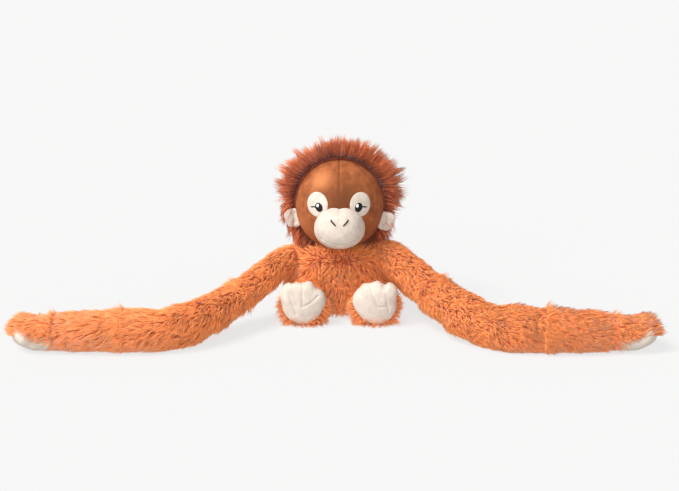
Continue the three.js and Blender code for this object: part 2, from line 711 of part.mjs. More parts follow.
const toy = new THREE.Group();
toy.add(
  buildTorso(),
  buildHead(),
  buildArm("right"),
  buildArm("left"),
  buildLeg("right", -1),
  buildLeg("left", 1),
);

export default toy;
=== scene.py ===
"""The finished look of a sitting plush ape: long pile, a hairy mane, a stitched face and padded soles.

Everything is in metres. +Z is up, the toy faces -Y and +X is its own left.
"""

import json
import logging
import math
from collections.abc import Callable
from dataclasses import dataclass, field, replace
from enum import Enum

import bmesh
import bpy
import numpy as np
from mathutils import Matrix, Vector
from mathutils.bvhtree import BVHTree
from mathutils.kdtree import KDTree


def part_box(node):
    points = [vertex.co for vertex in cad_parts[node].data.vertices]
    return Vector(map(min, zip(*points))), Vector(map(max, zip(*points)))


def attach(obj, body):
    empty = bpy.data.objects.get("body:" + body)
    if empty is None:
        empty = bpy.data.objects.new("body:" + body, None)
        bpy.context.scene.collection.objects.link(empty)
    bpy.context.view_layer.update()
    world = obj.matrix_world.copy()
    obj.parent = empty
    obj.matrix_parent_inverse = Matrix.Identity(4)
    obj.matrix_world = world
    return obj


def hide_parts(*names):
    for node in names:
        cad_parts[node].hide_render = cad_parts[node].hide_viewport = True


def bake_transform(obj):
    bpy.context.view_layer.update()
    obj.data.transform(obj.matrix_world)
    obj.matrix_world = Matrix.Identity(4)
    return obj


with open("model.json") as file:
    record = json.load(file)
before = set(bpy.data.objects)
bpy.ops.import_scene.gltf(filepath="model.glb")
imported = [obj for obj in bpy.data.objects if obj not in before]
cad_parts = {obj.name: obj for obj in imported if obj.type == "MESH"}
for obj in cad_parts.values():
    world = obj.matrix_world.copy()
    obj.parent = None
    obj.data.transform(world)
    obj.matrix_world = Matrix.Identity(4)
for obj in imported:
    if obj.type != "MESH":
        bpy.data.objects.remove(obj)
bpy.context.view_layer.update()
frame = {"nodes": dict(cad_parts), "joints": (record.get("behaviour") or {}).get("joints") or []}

JOINTS = {joint["name"]: joint for joint in frame["joints"]}
FLOOR_CLEARANCE = 0.0004  # nothing reaches lower than this
SEAM_PLANE_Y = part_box("face_panel_right")[1].y  # the face cloth ends here and the mane begins

LOG = logging.getLogger("plush_ape")

Array = np.ndarray
Colour = tuple[float, float, float, float]
Field = Callable[[Array, Array], Array]


class Side(Enum):
    """The toy's own right and left."""

    RIGHT = ("right", -1)
    LEFT = ("left", 1)

    @property
    def word(self) -> str:
        """The side's name as the CAD nodes have it."""
        return self.value[0]

    @property
    def sign(self) -> int:
        """The sign of X on this side."""
        return self.value[1]


class Slot(Enum):
    """The record's material slots."""

    PLUSH = "plush"
    MANE = "mane"
    FACE = "face"
    CREAM = "cream"
    BLACK = "thread_black"
    WHITE = "thread_white"


# ---------------------------------------------------------------- finishes


def linear(red: int, green: int, blue: int) -> Colour:
    """A screen colour, 0 to 255, as the linear colour that a shader's socket takes."""
    return (*(((value / 255 + 0.055) / 1.055) ** 2.4 for value in (red, green, blue)), 1.0)


class Shader:
    """A material with one Principled shader, and short ways to add nodes to it."""

    def __init__(self, name: str) -> None:
        """Starts an empty material.

        Args:
            name: The material's name.
        """
        self.material = bpy.data.materials.new(name)
        self.material.use_nodes = True
        self.tree = self.material.node_tree
        self.surface = self.tree.nodes["Principled BSDF"]

    def set(self, **values: float | Colour) -> None:
        """Sets constants on the Principled shader, a socket's name written with underscores."""
        for name, value in values.items():
            self.surface.inputs[name.replace("_", " ")].default_value = value

    def add(self, kind: str, **values: object) -> bpy.types.Node:
        """Adds a node.

        Args:
            kind: The node's type, without the ShaderNode in front.
            values: Its properties, or its sockets, written with underscores.

        Returns:
            The node.
        """
        node = self.tree.nodes.new("ShaderNode" + kind)
        for name, value in values.items():
            if hasattr(node, name):
                setattr(node, name, value)
            else:
                node.inputs[name.replace("_", " ")].default_value = value
        return node

    def join(self, source: bpy.types.NodeSocket, target: bpy.types.NodeSocket) -> None:
        """Links an output to an input."""
        self.tree.links.new(source, target)

    def ramp(
        self, source: bpy.types.NodeSocket, stops: list[tuple[float, Colour]]
    ) -> bpy.types.NodeSocket:
        """A colour ramp.

        Args:
            source: What drives it, 0 to 1.
            stops: Places and colours, in order.

        Returns:
            Its colour output.
        """
        node = self.add("ValToRGB")
        elements = node.color_ramp.elements
        elements[0].position, elements[0].color = stops[0]
        elements[1].position, elements[1].color = stops[-1]
        for place, colour in stops[1:-1]:
            elements.new(place).color = colour
        self.join(source, node.inputs["Fac"])
        return node.outputs["Color"]

    def relief(self, height: bpy.types.NodeSocket, depth: float, strength: float = 1.0) -> None:
        """Bumps the surface by a height from 0 to 1 of the given depth in metres."""
        bump = self.add("Bump", Distance=depth, Strength=strength)
        self.join(height, bump.inputs["Height"])
        self.join(bump.outputs["Normal"], self.surface.inputs["Normal"])


@dataclass(frozen=True)
class PileFinish:
    """Long synthetic hair, coloured from root to tip, each lock a little different."""

    name: str
    # darker towards the root: painted shade deep in the pile
    root: Colour
    middle: Colour
    tip: Colour
    darkest: float
    brightest: float
    roughness: float
    sheen: float
    glow: float  # a little light of its own, for what fine fibres pass on to each other

    def build(self) -> bpy.types.Material:
        """The material. It reads the tufts' own map: across for the lock's shade, up for root to tip."""
        shader = Shader(self.name)
        spread = shader.add("UVMap", uv_map=Pelt.MAP)
        parts = shader.add("SeparateXYZ")
        shader.join(spread.outputs["UV"], parts.inputs["Vector"])
        # the ramp runs from the root's painted shade to the tip
        stops = [(0.0, self.root), (0.45, self.middle), (1.0, self.tip)]
        along = shader.ramp(parts.outputs["Y"], stops)
        shade = shader.add("MapRange", To_Min=self.darkest, To_Max=self.brightest)
        shader.join(parts.outputs["X"], shade.inputs["Value"])
        tint = shader.add("HueSaturation")
        shader.join(shade.outputs["Result"], tint.inputs["Value"])
        shader.join(along, tint.inputs["Color"])
        shader.join(tint.outputs["Color"], shader.surface.inputs["Base Color"])
        shader.set(Roughness=self.roughness, Sheen_Weight=self.sheen, Sheen_Roughness=0.5)
        shader.join(tint.outputs["Color"], shader.surface.inputs["Emission Color"])
        shader.set(Specular_IOR_Level=0.25, Emission_Strength=self.glow)
        return shader.material


@dataclass(frozen=True)
class VelboaFinish:
    """Short brushed pile: fine bumps, soft blotches where it is stroked, patches of painted light and
    shade, and a velvet sheen.
    """

    name: str
    base: Colour
    stroked: Colour
    blotch: float
    nap: float
    sheen: float
    sheen_tint: Colour
    relief: float = 0.00055
    # painted light and shade: patches of painted shade or painted highlight blended over the pile
    strokes: tuple[tuple[tuple[float, float, float], float, Colour], ...] = ()  # place, size, colour

    def build(self) -> bpy.types.Material:
        """The material, in Object coordinates."""
        shader = Shader(self.name)
        place = shader.add("TexCoord").outputs["Object"]
        blotches = shader.add("TexNoise", Scale=1 / self.blotch, Detail=2.0, Roughness=0.55)
        shader.join(place, blotches.inputs["Vector"])
        fine = shader.add("TexNoise", Scale=1 / self.nap, Detail=3.0, Roughness=0.65)
        shader.join(place, fine.inputs["Vector"])
        mixed = shader.add("Math", operation="MULTIPLY_ADD")
        mixed.inputs[1].default_value = 0.45
        shader.join(fine.outputs["Fac"], mixed.inputs[0])
        shader.join(blotches.outputs["Fac"], mixed.inputs[2])
        colour = shader.ramp(mixed.outputs["Value"], [(0.45, self.base), (1.0, self.stroked)])
        # each patch blends its painted shade or painted highlight colour in around its place
        for centre, size, painted_tone in self.strokes:
            gap = shader.add("VectorMath", operation="DISTANCE")
            gap.inputs[1].default_value = centre
            shader.join(place, gap.inputs[0])
            share = shader.add("MapRange", From_Max=size, To_Min=1.0, To_Max=0.0)
            share.interpolation_type = "SMOOTHSTEP"
            shader.join(gap.outputs["Value"], share.inputs["Value"])
            blend = shader.add("Mix", data_type="RGBA")
            blend.inputs[7].default_value = painted_tone
            shader.join(share.outputs["Result"], blend.inputs["Factor"])
            shader.join(colour, blend.inputs[6])
            colour = blend.outputs[2]
        shader.join(colour, shader.surface.inputs["Base Color"])
        shader.relief(fine.outputs["Fac"], self.relief)
        shader.set(Roughness=0.92, Sheen_Weight=self.sheen, Sheen_Roughness=0.35)
        shader.set(Sheen_Tint=self.sheen_tint, Specular_IOR_Level=0.2)
        return shader.material


@dataclass(frozen=True)
class ThreadFinish:
    """Satin-stitch thread: smooth, a little glossy, with fine fibres along each stitch."""

    name: str
    colour: Colour
    worn: Colour
    roughness: float
    fibre: float = 0.00035

    def build(self) -> bpy.types.Material:
        """The material, in Object coordinates."""
        shader = Shader(self.name)
        place = shader.add("TexCoord").outputs["Object"]
        stretch = shader.add("Mapping")
        stretch.inputs["Scale"].default_value = (0.25, 1.0, 1.0)
        shader.join(place, stretch.inputs["Vector"])
        fibres = shader.add("TexNoise", Scale=1 / self.fibre, Detail=1.0)
        shader.join(stretch.outputs["Vector"], fibres.inputs["Vector"])
        colour = shader.ramp(fibres.outputs["Fac"], [(0.35, self.colour), (0.75, self.worn)])
        shader.join(colour, shader.surface.inputs["Base Color"])
        shader.relief(fibres.outputs["Fac"], 0.00006)
        shader.set(Roughness=self.roughness, Specular_IOR_Level=0.25)
        return shader.material


@dataclass(frozen=True)
class FibreFinish:
    """Loose polyester stuffing: pale, tangled and soft."""

    name: str
    pale: Colour
    shaded: Colour
    tangle: float

    def build(self) -> bpy.types.Material:
        """The material, in Object coordinates."""
        shader = Shader(self.name)
        place = shader.add("TexCoord").outputs["Object"]
        tangle = shader.add("TexNoise", Scale=1 / self.tangle, Detail=6.0, Distortion=1.6)
        shader.join(place, tangle.inputs["Vector"])
        colour = shader.ramp(tangle.outputs["Fac"], [(0.35, self.shaded), (0.65, self.pale)])
        shader.join(colour, shader.surface.inputs["Base Color"])
        shader.relief(tangle.outputs["Fac"], 0.002)
        shader.set(Roughness=1.0, Sheen_Weight=0.4)
        return shader.material


@dataclass(frozen=True)
class WeaveFinish:
    """Plain-woven cotton, as on an inner pouch."""

    name: str
    thread: Colour
    gap: Colour
    pitch: float

    def build(self) -> bpy.types.Material:
        """The material, in Object coordinates: two sets of threads that cross."""
        shader = Shader(self.name)
        place = shader.add("TexCoord").outputs["Object"]
        rows = []
        for direction in ("X", "Y"):
            wave = shader.add("TexWave", bands_direction=direction, Scale=0.31 / self.pitch)
            shader.join(place, wave.inputs["Vector"])
            rows.append(wave.outputs["Fac"])
        cross = shader.add("Math", operation="MULTIPLY")
        shader.join(rows[0], cross.inputs[0])
        shader.join(rows[1], cross.inputs[1])
        colour = shader.ramp(cross.outputs["Value"], [(0.05, self.gap), (0.5, self.thread)])
        shader.join(colour, shader.surface.inputs["Base Color"])
        shader.relief(cross.outputs["Value"], 0.0003)
        shader.set(Roughness=0.9)
        return shader.material


PLUSH = PileFinish(
    name="orange_plush",
    # painted shade at the roots
    root=linear(210, 92, 36),
    middle=linear(248, 142, 72),
    tip=linear(252, 168, 98),
    darkest=0.68,
    brightest=1.18,
    roughness=0.62,
    sheen=0.35,
    glow=0.10,
)
MANE = PileFinish(
    name="auburn_mane",
    # painted shade at the roots
    root=linear(140, 58, 28),
    middle=linear(188, 92, 49),
    tip=linear(214, 121, 72),
    darkest=0.66,
    brightest=1.24,
    roughness=0.48,
    sheen=0.2,
    glow=0.04,
)
FACE = VelboaFinish(
    name="brown_velboa",
    base=linear(116, 62, 34),
    stroked=linear(170, 98, 57),
    blotch=0.009,
    nap=0.0016,
    sheen=0.12,
    sheen_tint=linear(255, 190, 140),
    # painted shade across the brow, a painted highlight on the upper left of the forehead, and painted
    # light low on the lit side of the face
    strokes=(
        ((0.004, -0.055, 0.143), 0.040, linear(108, 60, 34)),
        ((-0.024, -0.044, 0.168), 0.022, linear(196, 124, 78)),
        ((-0.046, -0.030, 0.108), 0.026, linear(168, 98, 56)),
    ),
)
CREAM = VelboaFinish(
    name="cream_velboa",
    base=linear(190, 176, 163),
    stroked=linear(212, 201, 190),
    blotch=0.008,
    nap=0.0014,
    sheen=0.06,
    sheen_tint=linear(255, 248, 240),
)
BLACK_THREAD = ThreadFinish("black_thread", linear(9, 8, 8), linear(24, 23, 24), 0.5)
WHITE_THREAD = ThreadFinish("white_thread", linear(240, 240, 240), linear(252, 252, 252), 0.45)
FIBRE = FibreFinish("stuffing_fibre", linear(246, 246, 243), linear(214, 214, 210), 0.006)
POUCH = WeaveFinish("pouch_cotton", linear(222, 215, 200), linear(170, 162, 146), 0.0009)


# ---------------------------------------------------------------- modelling tools


class Bench:
    """Blender's modelling tools, used on one piece at a time."""

    @staticmethod
    def clear() -> None:
        """Deselects everything."""
        bpy.ops.object.select_all(action="DESELECT")

    @staticmethod
    def take(piece: bpy.types.Object) -> None:
        """Selects one piece alone and makes it active."""
        Bench.clear()
        piece.select_set(True)
        bpy.context.view_layer.objects.active = piece

    @staticmethod
    def ball(name: str, segments: int, rings: int) -> bpy.types.Object:
        """A round start of radius 1 at the origin, its poles along Z.

        Args:
            name: The piece's name.
            segments: Faces around it.
            rings: Faces from pole to pole.

        Returns:
            The new object.
        """
        Bench.clear()
        bpy.ops.mesh.primitive_uv_sphere_add(segments=segments, ring_count=rings, radius=1.0)
        piece = Bench._named(name)
        Bench.put_in_order(piece)
        return piece

    @staticmethod
    def tube(name: str, sides: int, rings: int) -> bpy.types.Object:
        """A closed tube of radius 1 from Z = 0 to Z = 1, cut into rings.

        Args:
            name: The piece's name.
            sides: Faces around it.
            rings: Cuts along it.

        Returns:
            The new object.
        """
        Bench.clear()
        bpy.ops.mesh.primitive_cylinder_add(
            vertices=sides, radius=1.0, depth=1.0, end_fill_type="TRIFAN", location=(0, 0, 0.5)
        )
        piece = Bench._named(name)
        bpy.ops.object.mode_set(mode="EDIT")
        bpy.ops.mesh.select_all(action="DESELECT")
        shape = bmesh.from_edit_mesh(piece.data)
        for edge in shape.edges:
            edge.select_set(abs(edge.verts[0].co.z - edge.verts[1].co.z) > 0.5)
        bmesh.update_edit_mesh(piece.data)
        bpy.ops.mesh.subdivide(number_cuts=rings)
        bpy.ops.object.mode_set(mode="OBJECT")
        Bench.put_in_order(piece)
        return piece

    @staticmethod
    def _named(name: str) -> bpy.types.Object:
        """The active object under a name, its place moved into its mesh."""
        piece = bpy.context.object
        piece.name = name
        piece.data.name = name
        bpy.ops.object.transform_apply(location=True, rotation=True, scale=True)
        return piece

    @staticmethod
    def points(piece: bpy.types.Object) -> Array:
        """The piece's vertices, one row each."""
        flat = np.empty(len(piece.data.vertices) * 3)
        piece.data.vertices.foreach_get("co", flat)
        return flat.reshape(-1, 3)

    @staticmethod
    def normals(piece: bpy.types.Object) -> Array:
        """The piece's vertex normals, one row each."""
        flat = np.empty(len(piece.data.vertices) * 3)
        piece.data.vertices.foreach_get("normal", flat)
        return flat.reshape(-1, 3)

    @staticmethod
    def place(piece: bpy.types.Object, points: Array) -> None:
        """Moves the piece's vertices to new places."""
        piece.data.vertices.foreach_set("co", np.asarray(points, float).ravel())
        piece.data.update()

    @staticmethod
    def cut(piece: bpy.types.Object, point: Vector, away: Vector, fill: bool = True) -> None:
        """Cuts off what lies beyond a plane.

        Args:
            piece: What is cut.
            point: A point of the plane.
            away: The plane's normal, towards what goes.
            fill: Whether the cut is closed.
        """
        Bench.take(piece)
        bpy.ops.object.mode_set(mode="EDIT")
        bpy.ops.mesh.select_all(action="SELECT")
        bpy.ops.mesh.bisect(plane_co=point, plane_no=away, use_fill=fill, clear_outer=True)
        bpy.ops.object.mode_set(mode="OBJECT")
        Bench.put_in_order(piece)

    @staticmethod
    def put_in_order(piece: bpy.types.Object) -> None:
        """Numbers vertices and faces by where they lie, as Blender's own order changes between runs."""
        points = Bench.points(piece)
        order = np.lexsort(np.round(points, 7).T)
        rank = np.empty(len(order), int)
        rank[order] = np.arange(len(order))
        faces = []
        for face in piece.data.polygons:
            corners = [int(rank[corner]) for corner in face.vertices]
            first = corners.index(min(corners))
            faces.append(corners[first:] + corners[:first])
        piece.data.clear_geometry()
        piece.data.from_pydata(points[order], [], sorted(faces))
        piece.data.update(calc_edges=True)

    @staticmethod
    def modify(piece: bpy.types.Object, kind: str, **values: object) -> None:
        """Adds a modifier and applies it.

        Args:
            piece: What it changes.
            kind: The modifier's type.
            values: Its settings.
        """
        Bench.take(piece)
        modifier = piece.modifiers.new(kind.lower(), kind)
        for name, value in values.items():
            setattr(modifier, name, value)
        bpy.ops.object.modifier_apply(modifier=modifier.name)

    @staticmethod
    def smooth(piece: bpy.types.Object, degrees: float = 50) -> None:
        """Shades the piece smooth, with edges sharper than the angle left sharp."""
        Bench.take(piece)
        bpy.ops.object.shade_smooth_by_angle(angle=math.radians(degrees))

    @staticmethod
    def turn_out(piece: bpy.types.Object) -> None:
        """Turns all the faces of a closed piece outwards."""
        Bench.take(piece)
        bpy.ops.object.mode_set(mode="EDIT")
        bpy.ops.mesh.select_all(action="SELECT")
        bpy.ops.mesh.normals_make_consistent(inside=False)
        bpy.ops.object.mode_set(mode="OBJECT")

    @staticmethod
    def tree(piece: bpy.types.Object) -> BVHTree:
        """The piece's surface, to shoot rays at."""
        faces = [tuple(face.vertices) for face in piece.data.polygons]
        return BVHTree.FromPolygons([vertex.co for vertex in piece.data.vertices], faces)

    @staticmethod
    def dress(piece: bpy.types.Object, material: bpy.types.Material) -> None:
        """Gives the piece one material."""
        piece.data.materials.clear()
        piece.data.materials.append(material)


SETTLE_FRAMES = 20  # how long the filling takes to settle


def plump(piece: bpy.types.Object, voxel: float, pressure: float, cap: float) -> None:
    """Remeshes a closed cloth evenly and lets pressure fill it, as stuffing does.

    Args:
        piece: The closed cloth.
        voxel: The remesh's size.
        pressure: The stuffing's pressure.
        cap: The furthest that a point may move.
    """
    Bench.modify(piece, "REMESH", mode="VOXEL", voxel_size=voxel)
    before = Bench.points(piece)
    Bench.take(piece)
    modifier = piece.modifiers.new("filling", "CLOTH")
    settings = modifier.settings
    settings.quality = 4
    settings.mass = 0.2
    settings.use_pressure = True
    settings.uniform_pressure_force = pressure
    settings.effector_weights.gravity = 0.0
    modifier.point_cache.frame_start = 1
    modifier.point_cache.frame_end = SETTLE_FRAMES
    for number in range(1, SETTLE_FRAMES + 1):
        bpy.context.scene.frame_set(number)
    bpy.ops.object.modifier_apply(modifier=modifier.name)
    bpy.context.scene.frame_set(1)
    shift = Bench.points(piece) - before
    reach = np.linalg.norm(shift, axis=1, keepdims=True)
    Bench.place(piece, before + shift * np.minimum(1, cap / np.maximum(reach, 1e-9)))


def unit(vectors: Array) -> Array:
    """Each row at length 1."""
    return vectors / np.maximum(np.linalg.norm(vectors, axis=-1, keepdims=True), 1e-12)


def smoothstep(low: float, high: float, values: Array) -> Array:
    """0 below low, 1 above high, and smooth between them."""
    share = np.clip((values - low) / (high - low), 0, 1)
    return share * share * (3 - 2 * share)


def squarish(angle: Array, power: float) -> Array:
    """The radius of a superellipse with half width and height 1, in some directions."""
    return (np.abs(np.cos(angle)) ** power + np.abs(np.sin(angle)) ** power) ** (-1 / power)


def dent(piece: bpy.types.Object, line: list[Vector], depth: float, width: float) -> None:
    """Pulls a sewn line into the surface.

    Args:
        piece: What it is sewn into.
        line: The corners of the line.
        depth: How deep it lies.
        width: Half the width over which the surface dips.
    """
    points = Bench.points(piece)
    nearest = np.full(len(points), np.inf)
    for start, end in zip(line, line[1:]):
        run = np.array(end - start)
        share = np.clip((points - np.array(start)) @ run / (run @ run), 0, 1)
        gap = np.linalg.norm(points - (np.array(start) + share[:, None] * run), axis=1)
        nearest = np.minimum(nearest, gap)
    dip = depth * np.exp(-((nearest / width) ** 2))
    Bench.place(piece, points - Bench.normals(piece) * dip[:, None])


class Waves:
    """Smooth random numbers over space, mostly from -1 to 1."""

    def __init__(self, size: float, draw: np.random.Generator, count: int = 7) -> None:
        """Draws the waves.

        Args:
            size: The distance over which the numbers change.
            draw: Where the random numbers come from.
            count: How many waves are added up.
        """
        pace = 2 * math.pi / size * draw.uniform(0.6, 1.5, (count, 1))
        self.directions = unit(draw.normal(size=(count, 3))) * pace
        self.phases = draw.uniform(0, 2 * math.pi, count)

    def at(self, points: Array) -> Array:
        """The numbers at some points."""
        waves = np.sin(points @ self.directions.T + self.phases)
        return waves.sum(axis=1) / math.sqrt(len(self.phases) / 2)


def put(piece: bpy.types.Object, body: str, slot: Slot, *nodes: str) -> None:
    """Lets a piece ride on a body in the place of some CAD nodes, and logs it."""
    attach(piece, body)
    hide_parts(*nodes)
    report(piece)


def report(piece: bpy.types.Object) -> None:
    """Logs a finished piece."""
    LOG.info("%s: %d faces", piece.name, len(piece.data.polygons))


# ---------------------------------------------------------------- pile


@dataclass(frozen=True)
class Pile:
    """How hair grows: its size and density, how it gathers into locks and how it lies."""

    length: float
    per_mm2: float
    width: float
    lock: float  # the size of a lock
    gather: float  # 0 to 1, how far tips are drawn to their lock's tip
    rise: tuple[float, float]  # degrees from the cloth's normal, at the root and at the tip
    joints: int  # straight stretches in a tuft
    wander: float  # degrees of slow turning over the cloth
    wander_size: float
    stray: float  # degrees by which single locks turn
    droop: float = 0.0  # how far the tips sink


class Pelt:
    """A closed cloth and the hair that grows on it, as one mesh."""

    MAP = "OFBake"
    SINK = 0.0006  # roots start this far inside the cloth

    def __init__(self, cloth: bpy.types.Object, seed: int) -> None:
        """Takes over a cloth.

        Args:
            cloth: A closed mesh, which is used up.
            seed: What the random numbers start from.
        """
        self.cloth = cloth
        self.draw = np.random.default_rng(seed)
        mesh = cloth.data
        mesh.calc_loop_triangles()
        corners = np.empty(len(mesh.loop_triangles) * 3, np.int32)
        mesh.loop_triangles.foreach_get("vertices", corners)
        self.corners = corners.reshape(-1, 3)
        self.points = Bench.points(cloth)
        self.normals = Bench.normals(cloth)
        self.batches: list[tuple[Array, Array, Array]] = []

    def _scatter(self, per_mm2: float) -> tuple[Array, Array]:
        """Points spread evenly over the cloth, with their normals.

        Args:
            per_mm2: How many points there are on each square millimetre.

        Returns:
            The points and the normals.
        """
        first, second, third = (self.points[self.corners[:, k]] for k in range(3))
        area = np.linalg.norm(np.cross(second - first, third - first), axis=1) / 2
        wanted = area.sum() * per_mm2 * 1e6
        drawn = int(wanted * 3.5)
        face = self.draw.choice(len(area), size=drawn, p=area / area.sum())
        across = self.draw.random((drawn, 2))
        over = across.sum(axis=1) > 1
        across[over] = 1 - across[over]
        shares = np.column_stack([1 - across.sum(axis=1), across])
        points = np.einsum("nk,nkc->nc", shares, self.points[self.corners[face]])
        normals = unit(np.einsum("nk,nkc->nc", shares, self.normals[self.corners[face]]))
        kept = self._thin(points, math.sqrt(1.5 * area.sum() / wanted))
        return points[kept], normals[kept]

    @staticmethod
    def _thin(points: Array, cell: float) -> Array:
        """One point for each cell of a grid, as indices."""
        cells = np.floor(points / cell).astype(np.int64)
        return np.sort(np.unique(cells, axis=0, return_index=True)[1])

    def grow(
        self,
        pile: Pile,
        comb: Field,
        length_at: Field | None = None,
        lean_at: Field | None = None,
    ) -> None:
        """Grows one kind of hair.

        Args:
            pile: The hair.
            comb: The direction in which it lies, at points with their normals.
            length_at: Its length there, as a share of the pile's. Nothing grows where it is near 0.
            lean_at: How much of the pile's rise it takes there.
        """
        roots, normals = self._scatter(pile.per_mm2)
        share = np.ones(len(roots)) if length_at is None else length_at(roots, normals)
        grows = share > 0.06
        roots, normals, share = roots[grows], normals[grows], share[grows]
        if not len(roots):
            return
        heads = self._thin(roots, pile.lock)
        tree = KDTree(len(heads))
        for number, head in enumerate(heads):
            tree.insert(roots[head], number)
        tree.balance()
        owner = np.array([tree.find(root)[1] for root in roots])
        wander = Waves(pile.wander_size, self.draw)
        lock_turn = self.draw.normal(0, pile.stray, len(heads))
        lock_size = self.draw.normal(0, 1, len(heads)).clip(-2, 2)
        lock_shade = self.draw.normal(0, 1, len(heads)).clip(-2, 2)
        turn = pile.wander * wander.at(roots)
        lengths = pile.length * share * (1 + 0.10 * lock_size[owner])
        lengths *= 1 + self.draw.uniform(-0.14, 0.10, len(roots))
        own_turn = turn + lock_turn[owner] + self.draw.normal(0, 9, len(roots))
        head_turn = turn[heads] + lock_turn
        lean = np.ones(len(roots)) if lean_at is None else lean_at(roots, normals)
        head_lengths = pile.length * share[heads] * (1 + 0.10 * lock_size)
        flats = comb(roots, normals)
        paths = self._paths(pile, roots, normals, flats, lengths, own_turn, lean)
        locks = self._paths(
            pile, roots[heads], normals[heads], flats[heads], head_lengths, head_turn, lean[heads]
        )
        pull = pile.gather * np.linspace(0, 1, pile.joints + 1) ** 1.2
        paths += pull[None, :, None] * (locks[owner] - paths)
        shade = 0.5 + 0.14 * lock_shade[owner] + self.draw.uniform(-0.16, 0.16, len(roots))
        shade += 0.07 * Waves(0.035, self.draw).at(roots)
        self.batches.append(self._tufts(pile, paths, shade.clip(0.01, 0.99)))

    def _paths(
        self,
        pile: Pile,
        roots: Array,
        normals: Array,
        flats: Array,
        lengths: Array,
        turn: Array,
        lean: Array,
    ) -> Array:
        """The line of each hair.

        Args:
            pile: The hair.
            roots: Where each starts.
            normals: The cloth's normals there.
            flats: The combed direction there.
            lengths: How long each is.
            turn: Degrees by which each turns from the combed direction.
            lean: How much of the rise each takes.

        Returns:
            The points of each line, root first.
        """
        along = unit(flats - normals * np.sum(flats * normals, axis=1, keepdims=True))
        across = np.cross(normals, along)
        angle = np.radians(turn)[:, None]
        heading = along * np.cos(angle) + across * np.sin(angle)
        points = [roots - normals * self.SINK]
        step = (lengths / pile.joints)[:, None]
        for joint in range(pile.joints):
            share = (joint + 0.5) / pile.joints
            tilt = np.radians(pile.rise[0] + (pile.rise[1] - pile.rise[0]) * share) * lean
            tilt = tilt[:, None]
            points.append(points[-1] + step * (normals * np.cos(tilt) + heading * np.sin(tilt)))
        paths = np.stack(points, axis=1)
        sink = pile.droop * np.linspace(0, 1, pile.joints + 1) ** 2
        paths[:, :, 2] -= sink[None, :]
        return paths

    def _tufts(self, pile: Pile, paths: Array, shade: Array) -> tuple[Array, Array, Array]:
        """Closed three-sided tufts along lines of points.

        Args:
            pile: The hair.
            paths: The points of each line.
            shade: Each tuft's shade, 0 to 1.

        Returns:
            Vertices, triangles, and each vertex's place on the map.
        """
        count, joints = len(paths), pile.joints
        direction = unit(np.gradient(paths, axis=1))
        helper = unit(self.draw.normal(size=(count, 1, 3)))
        across = unit(np.cross(direction, helper))
        up = np.cross(direction, across)
        share = np.linspace(0, 1, joints + 1)
        radius = pile.width / 2 * (1 - share**1.7)
        sides = []
        for corner in range(3):
            angle = 2 * math.pi * corner / 3
            offset = across * math.cos(angle) + up * math.sin(angle)
            sides.append(paths + offset * radius[None, :, None])
        rings = np.stack(sides, axis=2)[:, :joints]
        vertices = np.concatenate([rings.reshape(count, -1, 3), paths[:, -1:]], axis=1)
        each = 3 * joints + 1
        faces = [(0, 2, 1)]
        for ring in range(joints):
            for corner in range(3):
                a, b = 3 * ring + corner, 3 * ring + (corner + 1) % 3
                if ring == joints - 1:
                    faces.append((a, b, each - 1))
                else:
                    faces += [(a, b, b + 3), (a, b + 3, a + 3)]
        triangles = np.array(faces)[None] + each * np.arange(count)[:, None, None]
        height = np.append(np.repeat(share[:joints], 3), 1.0)
        spots = np.empty((count, each, 2))
        spots[:, :, 0] = shade[:, None]
        spots[:, :, 1] = height[None, :]
        return vertices.reshape(-1, 3), triangles.reshape(-1, 3), spots.reshape(-1, 2)

    def finish(self, name: str, material: bpy.types.Material) -> bpy.types.Object:
        """Makes the cloth and its hair one piece.

        Args:
            name: The piece's name.
            material: What it is made of.

        Returns:
            The new object.
        """
        # the cloth under the hair takes the root's colour, painted shade under the pile
        base = np.column_stack([np.full(len(self.points), 0.5), np.zeros(len(self.points))])
        parts = [(self.points, self.corners, base), *self.batches]
        starts = np.cumsum([0] + [len(part[0]) for part in parts[:-1]])
        vertices = np.concatenate([part[0] for part in parts])
        triangles = np.concatenate([part[1] + start for part, start in zip(parts, starts)])
        spots = np.concatenate([part[2] for part in parts])
        vertices[:, 2] = above_floor(vertices[:, 2])
        mesh = bpy.data.meshes.new(name)
        mesh.vertices.add(len(vertices))
        mesh.vertices.foreach_set("co", vertices.astype(np.float32).ravel())
        mesh.loops.add(triangles.size)
        mesh.loops.foreach_set("vertex_index", triangles.astype(np.int32).ravel())
        mesh.polygons.add(len(triangles))
        starts = np.arange(0, triangles.size, 3, dtype=np.int32)
        mesh.polygons.foreach_set("loop_start", starts)
        mesh.update(calc_edges=True)
        layer = mesh.uv_layers.new(name=self.MAP)
        layer.uv.foreach_set("vector", spots[triangles.ravel()].astype(np.float32).ravel())
        mesh.polygons.foreach_set("use_smooth", np.ones(len(triangles), bool))
        piece = bpy.data.objects.new(name, mesh)
        bpy.context.scene.collection.objects.link(piece)
        bpy.data.objects.remove(self.cloth)
        mesh.materials.append(material)
        return piece


def above_floor(heights: Array) -> Array:
    """Heights with what would sink into the floor pressed flat just above it."""
    start = 0.0016
    room = start - FLOOR_CLEARANCE
    pressed = FLOOR_CLEARANCE + room * np.exp(np.minimum(heights - start, 0) / room)
    return np.where(heights < start, pressed, heights)


def rest_on_floor(piece: bpy.types.Object) -> None:
    """Presses what would sink into the floor flat just above it."""
    points = Bench.points(piece)
    points[:, 2] = above_floor(points[:, 2])
    Bench.place(piece, points)


